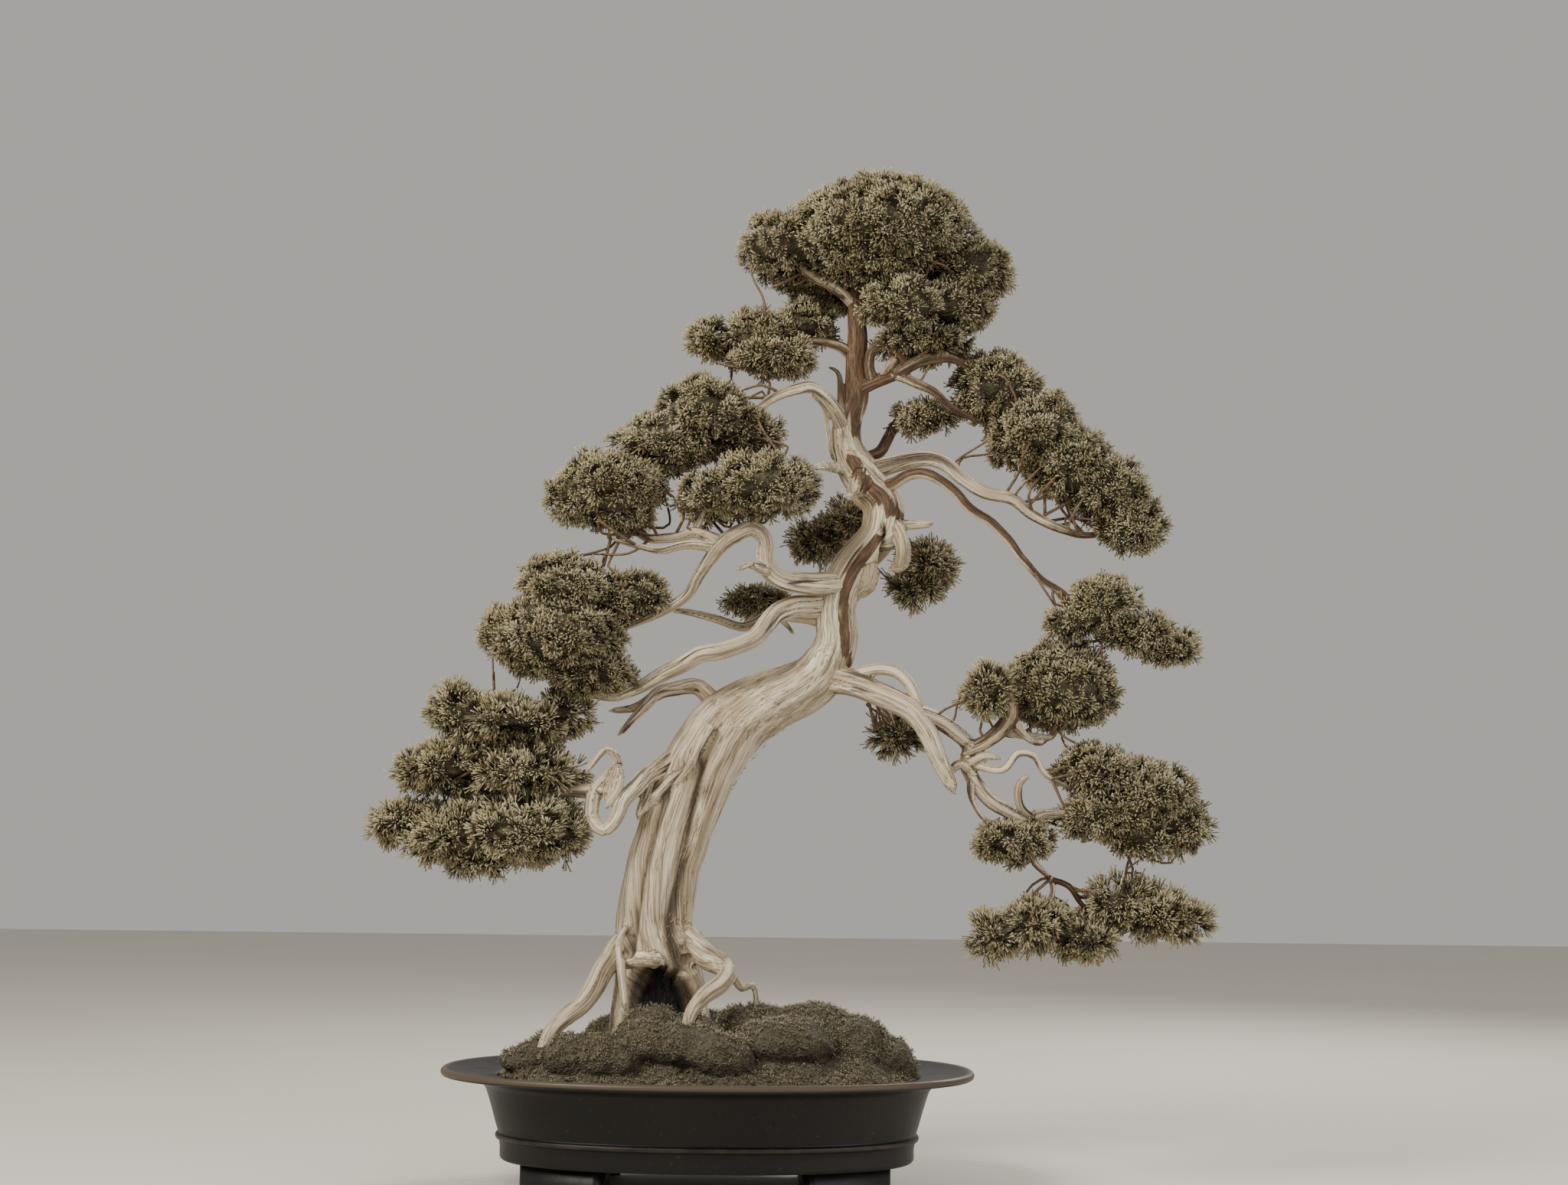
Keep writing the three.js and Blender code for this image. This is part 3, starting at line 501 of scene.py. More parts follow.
LIMB_LINES = {
    "low_left_branch": [
        [[-24, -2, 404, 26], [-50, -20, 389, 20], [-66, -32, 376, 17], [-80, -42, 358, 15],
         [-88, -46, 340, 14], [-99, -45, 330, 13], [-110, -41, 342, 14], [-109, -36, 362, 15],
         [-97, -33, 379, 16], [-87, -33, 393, 9], [-99, -35, 405, 7], [-117, -37, 384, 5]],
        [[-104, -36, 366, 15], [-136, -26, 366, 12], [-165, -20, 363, 10], [-198, -20, 360, 8],
         [-230, -20, 366, 5]],
        [[-198, -20, 360, 7], [-213, -20, 390, 6], [-205, -20, 424, 4]],
        [[-165, -20, 363, 8], [-184, -24, 344, 6], [-196, -24, 326, 4]],
        [[-57, -26, 382, 10], [-64, -32, 358, 8], [-68, -35, 340, 5]],
    ],
    "left_jin_branch": [
        [[14, 12, 440, 22], [-12, 25, 468, 18], [-38, 20, 467, 15], [-56, 10, 459, 13], [-70, 0, 443, 9],
         [-90, -8, 420, 5]],
        [[-54, 12, 460, 11], [-76, 14, 448, 9], [-100, 12, 444, 5]],
    ],
    "middle_left_branch": [
        [[108, -5, 546, 26], [62, -30, 538, 21], [37, -45, 509, 19], [9, -45, 498, 18],
         [-12, -40, 495, 17], [-36, -30, 482, 16], [-58, -25, 471, 14], [-78, -20, 462, 12],
         [-98, -20, 455, 10], [-136, -22, 462, 6]],
        [[-78, -20, 462, 10], [-102, -16, 480, 7], [-126, -22, 496, 5]],
    ],
    "back_left_branch": [
        [[112, 6, 534, 18], [84, 42, 540, 14], [55, 60, 544, 12], [27, 66, 532, 10], [-18, 60, 543, 8],
         [-46, 46, 546, 5]],
        [[30, 66, 533, 8], [38, 78, 546, 6], [34, 88, 556, 4]],
        [[60, 58, 543, 8], [70, 72, 534, 6], [76, 84, 526, 4]],
    ],
    "upper_left_branch": [
        [[128, -6, 568, 26], [87, -30, 564, 21], [60, -45, 568, 18], [48, -50, 582, 17],
         [47, -50, 602, 16], [35, -50, 612, 16], [18, -50, 607, 17], [2, -50, 593, 15],
         [-14, -43, 570, 12], [-26, -36, 552, 11], [-45, -30, 539, 10], [-64, -25, 529, 8],
         [-88, -20, 520, 5]],
        [[8, -50, 600, 13], [-18, -46, 610, 11], [-32, -42, 606, 10], [-60, -32, 606, 9],
         [-76, -27, 613, 6], [-92, -24, 624, 4]],
        [[0, -50, 596, 10], [-26, -58, 596, 9], [-50, -57, 591, 8], [-73, -50, 596, 6], [-98, -42, 604, 4]],
        [[35, -50, 612, 9], [42, -53, 626, 7], [44, -55, 642, 4]],
        [[-18, -46, 610, 8], [-12, -46, 626, 6], [-6, -46, 640, 4]],
        [[62, -44, 570, 11], [38, -60, 577, 8], [20, -70, 572, 5]],
    ],
    "arching_jin": [
        [[125, -4, 712, 17], [111, -24, 735, 14], [92, -32, 752, 12], [74, -34, 750, 11],
         [54, -36, 742, 10], [38, -38, 726, 8], [27, -40, 705, 5]],
    ],
    "top_left_branch": [
        [[132, -8, 788, 13], [113, -14, 798, 10], [74, -18, 801, 8], [46, -18, 800, 7], [8, -20, 802, 4]],
        [[113, -14, 798, 8], [96, 6, 806, 6], [84, 14, 814, 4]],
    ],
    "shoulder_right_branch": [
        [[133, -8, 756, 16], [151, -14, 763, 14], [171, -20, 770, 13], [195, -28, 781, 12],
         [224, -28, 782, 9], [250, -24, 768, 5]],
        [[168, -20, 769, 11], [204, -24, 753, 9], [224, -20, 738, 8], [250, -14, 724, 5]],
        [[160, -18, 767, 11], [170, -22, 784, 9], [184, -20, 797, 5]],
    ],
    "inner_right_branch": [
        [[134, 2, 690, 13], [157, 20, 700, 12], [170, 28, 723, 11], [186, 28, 741, 9], [212, 20, 732, 5]],
    ],
    "right_branch": [
        [[144, -2, 676, 21], [171, -10, 684, 18], [199, -20, 688, 16], [219, -24, 682, 15],
         [235, -25, 667, 14], [257, -24, 655, 13], [283, -20, 649, 12], [303, -15, 635, 11],
         [328, -10, 623, 9], [355, -2, 617, 7], [382, 0, 622, 5]],
    ],
    "right_long_branch": [
        [[156, -4, 660, 15], [170, -20, 663, 13], [186, -28, 671, 12], [206, -34, 669, 11],
         [226, -40, 653, 10], [242, -40, 637, 10], [261, -37, 625, 9], [277, -32, 609, 9],
         [292, -30, 590, 8], [309, -25, 572, 7], [328, -24, 560, 7], [350, -26, 545, 5],
         [384, -22, 536, 4]],
    ],
    "lower_right_jin": [
        [[100, -2, 478, 32], [138, -15, 469, 25], [162, -24, 458, 23], [187, -30, 445, 21],
         [205, -35, 420, 19], [214, -36, 398, 17], [222, -36, 380, 14], [227, -36, 370, 9]],
        [[126, -8, 480, 13], [162, -24, 484, 12], [183, -30, 472, 12], [197, -30, 444, 10]],
        [[146, -6, 464, 9], [168, 32, 446, 7], [180, 56, 426, 4]],
    ],
    "lower_right_branch": [
        [[186, -30, 446, 16], [202, -28, 441, 17], [224, -20, 430, 17], [243, -13, 413, 15],
         [240, -14, 398, 13], [245, -15, 386, 14], [255, -15, 372, 15], [271, -14, 358, 15],
         [295, -10, 346, 14], [312, -6, 349, 12], [338, -2, 350, 8], [356, 0, 345, 7], [380, 0, 338, 5]],
        [[240, -14, 409, 14], [260, -22, 419, 15], [274, -28, 430, 17], [281, -32, 444, 16],
         [277, -32, 457, 13], [266, -32, 463, 8]],
        [[302, -10, 346, 8], [291, -20, 355, 8], [287, -26, 368, 8], [290, -28, 380, 7], [299, -28, 386, 4]],
        [[276, -25, 428, 10], [300, -15, 423, 8], [321, -6, 423, 7], [331, 0, 440, 4]],
        [[245, -15, 386, 9], [245, -22, 366, 7], [252, -24, 350, 6], [266, -20, 334, 4]],
        [[244, -14, 398, 10], [266, -28, 390, 8], [277, -33, 392, 8], [286, -34, 405, 8],
         [302, -32, 403, 7], [314, -28, 386, 6], [340, -14, 374, 4]],
    ],
    "right_cascade_branch": [
        [[294, -10, 346, 9], [301, -10, 318, 7], [306, -10, 303, 7], [320, -10, 289, 6],
         [321, -10, 273, 6], [312, -12, 262, 5], [302, -13, 246, 4]],
        [[318, -10, 290, 6], [337, -10, 283, 6], [350, -6, 266, 5], [364, -2, 258, 5], [390, 0, 261, 3]],
    ],
    "inner_back_left_twig": [
        [[142, 6, 606, 12], [128, 32, 612, 8], [112, 56, 618, 5]],
    ],
    "inner_back_right_twig": [
        [[158, 6, 622, 12], [182, 32, 606, 8], [198, 48, 592, 5]],
    ],
    "crown_left_branch": [
        [[133, -9, 836, 13], [112, -14, 856, 11], [88, -14, 866, 9], [64, -12, 886, 4]],
    ],
    "crown_right_branch": [
        [[134, -9, 828, 13], [160, -20, 838, 11], [194, -18, 840, 9], [232, -10, 858, 4]],
    ],
}
# Strands of old wood too fine for that model, all on the side that the tree is shown from.
FINE_STRANDS = {
    "trunk": [
        [[-72, -16, 246, 8], [-82, -34, 227, 9], [-81, -44, 206, 9], [-79, -46, 190, 8], [-76, -46, 166, 8]],
        [[122, -8, 677, 8], [112, -13, 678, 7], [106, -17, 680, 6], [101, -19, 685, 3]],
        [[144, -8, 656, 9], [138, -14, 655, 8], [131, -19, 652, 7], [125, -22, 649, 5]],
        [[133, -8, 713, 8], [119, -14, 737, 8], [118, -15, 759, 7], [115, -16, 771, 5], [104, -16, 777, 3]],
        [[0, -37, 429, 10], [-14, -35, 402, 15], [-31, -29, 381, 14], [-48, -26, 365, 12],
         [-60, -26, 358, 10], [-65, -28, 345, 7]],
    ],
    "low_left_branch": [
        [[-88, -36, 388, 9], [-84, -42, 378, 8], [-86, -44, 368, 7], [-92, -44, 360, 7], [-97, -43, 350, 6]],
        [[-87, -36, 387, 12], [-90, -38, 379, 17], [-94, -40, 369, 13], [-98, -42, 358, 8]],
    ],
    "upper_left_branch": [
        [[50, -56, 572, 8], [45, -60, 572, 7], [39, -64, 575, 6], [34, -66, 580, 3]],
    ],
    "arching_jin": [
        [[92, -30, 746, 7], [102, -20, 735, 5], [106, -17, 718, 5], [108, -15, 700, 5], [114, -9, 684, 5]],
    ],
    "lower_right_branch": [
        [[197, -34, 442, 11], [220, -27, 432, 12], [243, -20, 415, 11]],
        [[222, -18, 385, 7], [228, -20, 394, 9], [237, -20, 396, 11], [246, -18, 388, 10]],
        [[240, -20, 395, 8], [256, -24, 402, 9], [271, -26, 401, 5]],
        [[285, -30, 435, 9], [294, -26, 423, 7], [305, -22, 416, 6], [316, -18, 419, 8]],
    ],
    "shoulder_right_branch": [
        [[149, -14, 764, 12], [145, -20, 776, 10], [147, -25, 789, 10], [159, -27, 795, 10],
         [174, -26, 788, 9], [179, -24, 777, 8], [172, -22, 770, 8]],
    ],
}
# Channels worn into the trunk's face, six low down and one at its bend: (x, z, half width) along
# each, and how deep it is.
TRUNK_CHANNELS = [
    ([(-16, 412, 0.4), (-30, 389, 4), (-45, 355, 6), (-56, 319, 6.5), (-64, 284, 6.5),
      (-70, 248, 6), (-74, 217, 5)], 6.5),
    ([(12, 440, 0.4), (-7, 402, 4), (-16, 355, 5.5), (-22, 320, 6), (-27, 284, 6),
      (-34, 249, 7), (-31, 224, 8.5), (-23, 205, 9)], 8.0),
    ([(45, 431, 4), (17, 403, 6), (1, 380, 5)], 0.6),
    ([(-17, 391, 2), (-25, 348, 2), (-32, 305, 2), (-42, 263, 2.5), (-47, 231, 2.5)], 2.0),
    ([(27, 459, 1.5), (0, 439, 2), (-15, 425, 2.5), (-22, 411, 2.5)], 2.5),
    ([(-62, 243, 2), (-65, 230, 2.5), (-55, 219, 2.5), (-43, 212, 2.5), (-32, 206, 2.5)], 3.0),
    ([(160, 620, 3.5), (162, 608, 5), (163, 596, 5), (160, 583, 3)], 15.0),
]
# Veins of live bark among the bare wood: (x, z, half width) along each.
LIVE_VEINS = [
    [(155, 610, 5), (141, 593, 7), (130, 576, 7), (123, 557, 7), (124, 524, 6), (128, 490, 5)],
    [(129, 684, 9), (139, 669, 12), (156, 650, 12), (170, 636, 9), (182, 629, 5)],
    [(131, 797, 11), (131, 744, 11), (134, 713, 8)],
]


# ---- wood ----
def rough(spots, seed=0):
    """Smooth noise from -1 to 1 at an array of points."""
    base = np.floor(spots).astype(np.int64)
    part = spots - base
    part = part * part * (3 - 2 * part)
    total = np.zeros(len(spots))
    for corner in np.ndindex(2, 2, 2):
        cell = base + np.array(corner)
        mixed = (cell[:, 0] * 73856093 ^ cell[:, 1] * 19349663 ^ cell[:, 2] * 83492791
                 ^ (seed + 1) * 2654435761)
        mixed = ((mixed ^ (mixed >> 13)) * 1274126177) & 0x7FFFFFFF
        mixed = ((mixed ^ (mixed >> 15)) * 668265263) & 0x7FFFFFFF
        share = np.prod(np.where(corner, part, 1 - part), axis=1)
        total += share * ((mixed & 0xFFFF) / 0x7FFF - 1)
    return total


def in_millimetres(mesh):
    return (coordinates(mesh) - np.array(POT_MIDDLE)) / MM


# How far apart two stems' grain is kept, so that their patterns differ, and how fast grain turns.
STEM_APART = 400
TWIST = 0.004
SPOTS_AT_ONCE = 6000


def grain_of(spots, lines):
    """Each spot's place in the nearest stem: twice across it, along it, and the stem's radius."""
    table = np.array([
        (*centre, radius, *side, *other, *ahead, length + order * STEM_APART)
        for order, line in enumerate(lines)
        for centre, radius, side, other, ahead, length in zip(
            line.centres, line.radii, line.sides, line.others, line.tangents, line.lengths)])
    found = np.empty((len(spots), 4))
    for start in range(0, len(spots), SPOTS_AT_ONCE):
        part = spots[start:start + SPOTS_AT_ONCE]
        reach = np.linalg.norm(part[:, None] - table[None, :, :3], axis=2) - table[None, :, 3]
        row = table[reach.argmin(1)]
        off = part - row[:, :3]
        first, second = (off * row[:, 4:7]).sum(1), (off * row[:, 7:10]).sum(1)
        along = (off * row[:, 10:13]).sum(1) + row[:, 13]
        turn = along * TWIST
        found[start:start + SPOTS_AT_ONCE] = np.stack((
            first * np.cos(turn) - second * np.sin(turn),
            first * np.sin(turn) + second * np.cos(turn), along, row[:, 3]), axis=1)
    return found


# How far a band's soft edge reaches, as a share of its half width.
BAND_SPREAD = 1.6


def nearness(spots, path):
    """1 on the middle of a path of [x, z, half width] seen from the front, and 0 well outside it."""
    best = np.zeros(len(spots))
    flat = spots[:, [0, 2]]
    for (x0, z0, w0), (x1, z1, w1) in zip(path, path[1:]):
        start, run = np.array((x0, z0)), np.array((x1 - x0, z1 - z0))
        share = np.clip(((flat - start) @ run) / (run @ run), 0, 1)
        away = np.linalg.norm(flat - start - share[:, None] * run, axis=1)
        width = w0 + share * (w1 - w0)
        best = np.maximum(best, (1 - away / width / BAND_SPREAD) * np.minimum(1, (width / 4) ** 0.5))
    return np.clip(best, 0, 1)


def frayed(near, grain, seed):
    """A band broken into streaks along the grain, solid in its middle and ragged at its edges."""
    streak = (rough(grain[:, :3] / (1.7, 1.7, 55), seed) * 0.34
              + rough(grain[:, :3] / (4, 4, 24), seed + 1) * 0.2)
    return np.clip((near + streak - 0.36) * 2.2, 0, 1) * (near > 0)


def weathered(name, lines, voxel, bark_share, flute_width=5.0, wear=1.0, detail=None):
    """A length of old wood: stems grown together, then fluted, cracked and frayed along their grain."""
    bm = bmesh.new()
    grown = []
    for order, points in enumerate(lines):
        line = Line(points, spacing=5.0, wander=1.4, seed=len(name) * 31 + order)
        thick = points[0][3]
        skin(bm, line, sides=18 if thick > 40 else 10, flute=0.05 if order else 0.07)
        grown.append(line)
    mesh = remeshed(mesh_of(bm, name), name, voxel * MM)
    spots = in_millimetres(mesh)
    grain = grain_of(spots, grown)
    radius = grain[:, 3]
    seed = sum(map(ord, name)) % 97
    broad = rough(grain[:, :3] / (flute_width * 1.6, flute_width * 1.6, 130), seed)
    strands = rough(grain[:, :3] / (3.4, 3.4, 90), seed + 1)
    fibres = rough(grain[:, :3] / (1.6, 1.6, 40), seed + 2)
    crease = np.exp(-(rough(grain[:, :3] / (flute_width, flute_width, 190), seed + 3) / 0.09) ** 2) * wear
    split = np.exp(-(strands / 0.13) ** 2) * wear
    out = (broad * np.minimum(0.10 * radius, 2.2) + strands * np.minimum(0.045 * radius, 0.5) + fibres * 0.2
           - crease * np.minimum(0.10 * radius, 1.6) - split * np.minimum(0.04 * radius, 0.35))
    # Painted shade: a mask that darkens the wood in its creases, its splits and where the fibres dip in.
    crevice = np.clip(crease * 0.6 + split * 0.3 + np.clip(-fibres, 0, 1) * 0.12, 0, 1)
    bark = np.clip(rough(grain[:, :3] / (flute_width * 1.4, flute_width * 1.4, 160), seed + 4) * 0.8
                   + strands * 0.25 + bark_share, 0, 1)
    if detail:
        out, crevice, bark = detail(spots, grain, out, crevice, bark)
    set_coordinates(mesh, coordinates(mesh) + normals_of(mesh) * out[:, None] * MM)
    mesh.attributes.new("grain", "FLOAT_VECTOR", "POINT").data.foreach_set(
        "vector", (grain[:, :3] * MM).ravel())
    float_attribute(mesh, "crevice", crevice)
    float_attribute(mesh, "bark", bark)
    finished(name + "_wood", mesh, WOOD, [name], "bark" if bark_share > MOSTLY_BARK else "deadwood")


# The rotted hollow: its middle, then its half width, half depth and half height.
HOLLOW = (-42, -50, 172, 32, 26, 28)
HOLLOW_DEPTH = 24
ROTTED_RADIUS = 25      # stems thinner than this are sound
CHANNELS_BEFORE = 2     # channels are worn only in front of this depth, and veins of this one
VEINS_BEFORE = 12
LIVE_ABOVE = 700        # above this the whole trunk carries bark, after a length that fades
LIVE_FADE = 60
# Swollen places on the trunk, as short thick stems: the bend's bulge, a knot, the strand beside the
# bend's gap, and the tongue over the hollow.
TRUNK_LUMPS = [
    [[133, -6, 558, 14], [141, -7, 567, 26], [143, -7, 581, 30], [144, -6, 598, 24], [148, -4, 616, 14]],
    [[134, -14, 655, 18], [137, -16, 664, 24], [139, -14, 673, 16]],
    [[165, -12, 634, 10], [174, -16, 620, 13], [178, -18, 608, 14], [180, -20, 596, 15],
     [178, -20, 586, 15], [167, -18, 580, 8]],
    [[-78, -30, 206, 10], [-66, -38, 211, 15], [-54, -40, 211, 14], [-44, -34, 208, 9]],
]


def trunk_face(spots, grain, out, crevice, bark):
    """What only the trunk has: its worn channels, live veins and the rotted hollow at its foot, with painted
    shade darkening the channels and near-black painted shade in the hollow.
    """
    face = spots[:, 1] < CHANNELS_BEFORE
    for order, (path, depth) in enumerate(TRUNK_CHANNELS):
        near = nearness(spots, path) * face
        bowl = near * near * (3 - 2 * near)
        streaks = frayed(near, grain, 300 + order)
        out = out - bowl * depth
        # Painted shade along each channel, in streaks along the grain.
        crevice = np.maximum(crevice, (bowl * 0.22 + streaks * 0.3) * min(1.4, 0.4 + depth / 10))
    bark = bark * 0.1
    for order, path in enumerate(LIVE_VEINS):
        vein = frayed(nearness(spots, path), grain, 320 + order)
        bark = np.maximum(bark, vein * (spots[:, 1] < VEINS_BEFORE))
    upper = np.clip((spots[:, 2] - LIVE_ABOVE) / LIVE_FADE, 0, 1)
    bark = np.clip(np.maximum(bark, upper * 0.8), 0, 1)
    x, y, z, wide, deep, high = HOLLOW
    inside = 1 - np.linalg.norm((spots - (x, y, z)) / (wide * 1.5, deep * 1.9, high * 1.4), axis=1)
    inside = np.clip((inside + rough(spots / 11, 340) * 0.08) * 5.5, 0, 1) * (grain[:, 3] > ROTTED_RADIUS)
    # The hollow is sunk in, and its wood is painted near black as shade.
    return out - inside * HOLLOW_DEPTH, np.maximum(crevice, inside * 1.6), bark


def trunk_wood():
    lines = [TRUNK_LINE, *ROOT_LINES, *STUB_LINES, *FINE_STRANDS["trunk"], *TRUNK_LUMPS]
    weathered("trunk", lines, TRUNK_SKIN, TRUNK_BARK, flute_width=17.0, wear=0.5, detail=trunk_face)


# How even the skin of the wood is, and how much bark it carries: a limb's share goes by the start
# of its name, and every other limb is bare.
TRUNK_SKIN = 1.85
LIMB_SKIN = 1.3
TRUNK_BARK = 0.1
LIMB_BARK = {"crown": 0.55, "top": 0.55, "shoulder": 0.55, "inner": 0.55, "right": 0.4,
             "lower_right_branch": 0.25}
BARE = -0.2
MOSTLY_BARK = 0.3


def limb_wood():
    for name, lines in LIMB_LINES.items():
        share = next((share for start, share in LIMB_BARK.items() if name.startswith(start)), BARE)
        weathered(name, lines + FINE_STRANDS.get(name, []), LIMB_SKIN, share)


trunk_wood()
limb_wood()


# ---- scattering small shapes ----
def parts_of(bm):
    """A small shape as arrays: its points, its triangles, how far along and round each point is."""
    bmesh.ops.triangulate(bm, faces=bm.faces)
    points = np.array([v.co[:] for v in bm.verts])
    triangles = np.array([[v.index for v in f.verts] for f in bm.faces])
    bm.free()
    along = np.clip(points[:, 2] / points[:, 2].max(), 0.02, 0.98)
    return points, triangles, along, np.arange(len(points)) % 3


def spray(seed, shoots, length, thick, spread, rise):
    """A spray of slim shoots that fork from one base, pointing along Z, in metres."""
    rng = random.Random(seed)
    bm = bmesh.new()
    for i in range(shoots):
        share = (i + 0.5) / shoots
        tilt = spread * math.sqrt(share) * rng.uniform(0.7, 1.2)
        reach = length * rng.uniform(0.75, 1.1) * (1 - 0.25 * share)
        turn = Matrix.Rotation(i * 2.4 + rng.uniform(-0.4, 0.4), 4, "Z") @ Matrix.Rotation(tilt, 4, "Y")
        start = Matrix.Translation((0, 0, length * rise * rng.random()))
        ends = (0, thick / 2) if i % 3 else (thick / 2, 0)
        bmesh.ops.create_cone(
            bm, cap_ends=True, segments=3, radius1=ends[0], radius2=ends[1], depth=reach,
            matrix=start @ turn @ Matrix.Translation((0, 0, reach / 2)))
    bmesh.ops.remove_doubles(bm, verts=bm.verts, dist=1e-3 * MM)
    bm.verts.index_update()
    return parts_of(bm)


def scattered(name, variants, spots, ways, sizes, rng):
    """One mesh of many small shapes, each on its spot and pointing its way."""
    chosen = rng.integers(len(variants), size=len(spots))
    points, triangles, maps, offset = [], [], [], 0
    for kind, (shape, faces, along, around) in enumerate(variants):
        mine = np.flatnonzero(chosen == kind)
        ahead = ways[mine]
        side = np.cross(ahead, rng.normal(size=ahead.shape))
        side /= np.linalg.norm(side, axis=1)[:, None]
        basis = np.stack((side, np.cross(ahead, side), ahead), axis=2) * sizes[mine][:, None, None]
        points.append((np.einsum("nij,vj->nvi", basis, shape) + spots[mine][:, None]).reshape(-1, 3))
        steps = (np.arange(len(mine)) * len(shape))[:, None, None] + offset
        triangles.append((faces[None] + steps).reshape(-1, 3))
        across = rng.random(len(mine))[:, None] * 0.96 + 0.01 + around[None] * 0.006
        maps.append(np.stack((across, np.broadcast_to(along, across.shape)), axis=2).reshape(-1, 2))
        offset += len(mine) * len(shape)
    points, triangles, maps = map(np.concatenate, (points, triangles, maps))
    mesh = bpy.data.meshes.new(name)
    mesh.vertices.add(len(points))
    mesh.vertices.foreach_set("co", points.ravel())
    mesh.loops.add(triangles.size)
    mesh.loops.foreach_set("vertex_index", triangles.ravel())
    mesh.polygons.add(len(triangles))
    mesh.polygons.foreach_set("loop_start", np.arange(0, triangles.size, 3))
    mesh.update(calc_edges=True)
    mesh.uv_layers.new(name="OFBake").data.foreach_set("uv", maps[triangles.ravel()].ravel())
    return mesh


def spots_on(node, count, rng):
    """Scattered places on a node's surface and the way each faces; count may go by its area."""
    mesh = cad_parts[node].data
    mesh.calc_loop_triangles()
    corners = coordinates(mesh)[np.array([t.vertices[:] for t in mesh.loop_triangles])]
    start, one, two = corners[:, 0], corners[:, 1] - corners[:, 0], corners[:, 2] - corners[:, 0]
    facing = np.cross(one, two)
    size = np.linalg.norm(facing, axis=1)
    kept = size > 1e-12
    start, one, two, facing, size = start[kept], one[kept], two[kept], facing[kept], size[kept]
    count = count(size.sum() / 2) if callable(count) else count
    pick = rng.choice(len(size), count, p=size / size.sum())
    first, second = rng.random((2, count, 1))
    over = first + second > 1
    first, second = np.where(over, 1 - first, first), np.where(over, 1 - second, second)
    return start[pick] + one[pick] * first + two[pick] * second, (facing / size[:, None])[pick]


def unit(vectors):
    return vectors / np.linalg.norm(vectors, axis=1)[:, None]


def roughened(node, voxel, wide, amount, seed, inward=0.0):
    """A copy of a node's own shape with an even skin and an uneven surface, drawn in by so much."""
    mesh = remeshed(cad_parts[node].data.copy(), node, voxel * MM)
    spots = in_millimetres(mesh)
    out = rough(spots / wide, seed) * amount + rough(spots / (wide * 0.35), seed + 1) * amount * 0.45 - inward
    set_coordinates(mesh, coordinates(mesh) + normals_of(mesh) * out[:, None] * MM)
    return mesh


# ---- foliage ----
SPRAY_LENGTH = 9.5 * MM
SHOOT_THICKNESS = 1.6 * MM
CLUMP_SPACING = 11.8 * MM
SPRAYS_PER_CLUMP = 5
CLUMP_DEPTH = 9.5 * MM
CLUMP_REACH = 7 * MM
CLUMP_STRAY = 2.4 * MM
CLUMP_SWELL = 3.5 * MM
CLUMP_SWELL_WIDTH = 17 * MM
CLUMP_LEAN = (0, 0, 0.18)
LONG_SHOOT = 1.4
# How far the foliage's painted-shade core sits inside each pad's surface.
SHADE_CORE_DEPTH = 9
# The groups whose shoots are longer and fewer.
SPARSE = ("foliage_low_left", "foliage_cascade", "foliage_inner")
FOLIAGE_GROUPS = {
    "foliage_crown": ["crown_pad"],
    "foliage_top": ["top_left_pad", "shoulder_pad", "inner_right_pad"],
    "foliage_upper_left": ["upper_left_high_pad", "upper_left_low_pad", "upper_left_inner_pad"],
    "foliage_middle_left": ["middle_left_pad", "back_left_pad"],
    "foliage_low_left": ["low_left_upper_pad", "low_left_middle_pad", "low_left_lower_pad"],
    "foliage_right": ["right_high_pad", "right_low_pad", "long_branch_pad"],
    "foliage_inner": ["inner_back_left_pad", "inner_back_right_pad", "lower_right_back_pad",
                      "lower_right_tuft"],
    "foliage_lower_right": ["lower_right_top_pad", "lower_right_outer_pad", "lower_right_inner_pad"],
    "foliage_cascade": ["cascade_left_pad", "cascade_right_pad"],
}


def foliage():
    sprays = [spray(seed, 9, SPRAY_LENGTH, SHOOT_THICKNESS, 0.85, 0.5) for seed in range(6)]
    long_sprays = [spray(20 + seed, 8, SPRAY_LENGTH * LONG_SHOOT, SHOOT_THICKNESS, 0.62, 0.5)
                   for seed in range(6)]
    for order, (name, pads) in enumerate(FOLIAGE_GROUPS.items()):
        rng = np.random.default_rng(500 + order)
        spots, ways = [], []
        for pad in pads:
            middle, facing = spots_on(pad, lambda area: max(12, round(area / CLUMP_SPACING ** 2)), rng)
            swell = rough(middle / CLUMP_SWELL_WIDTH, 260 + order)[:, None] * CLUMP_SWELL
            sunk = CLUMP_DEPTH - swell + rng.normal(size=(len(middle), 1)) * CLUMP_STRAY
            base = np.repeat(middle - facing * sunk, SPRAYS_PER_CLUMP, axis=0)
            lean = np.repeat(facing, SPRAYS_PER_CLUMP, axis=0) + CLUMP_LEAN
            way = unit(lean + unit(rng.normal(size=lean.shape)) * 0.85)
            spots.append(base + way * rng.uniform(0.1, 1.0, (len(base), 1)) * CLUMP_REACH)
            ways.append(way)
        spots, ways = np.concatenate(spots), np.concatenate(ways)
        kinds = long_sprays if name in SPARSE else sprays
        mesh = scattered(name, kinds, spots, ways, rng.uniform(0.75, 1.2, len(spots)), rng)
        finished(name, mesh, FOLIAGE, pads, "foliage")
        # A dark core just inside each pad, under the shoots: painted shade for the inside of the foliage.
        shade_core = bmesh.new()
        for pad in pads:
            shade_core.from_mesh(roughened(pad, 5.0, 9, 3.0, 200 + order, SHADE_CORE_DEPTH))
        finished(name + "_heart", mesh_of(shade_core, name + "_heart"), SHADE_CORE, slot="foliage")


TWIG_AREA = 34e-4       # square metres of foliage to a twig
TWIG_THICKNESS = (3.4, 2.6, 2.0, 1.3)
TWIG_SUNK = 7
TWIG_STARTS = 14        # how many of the nearest places on the limbs a twig may start from


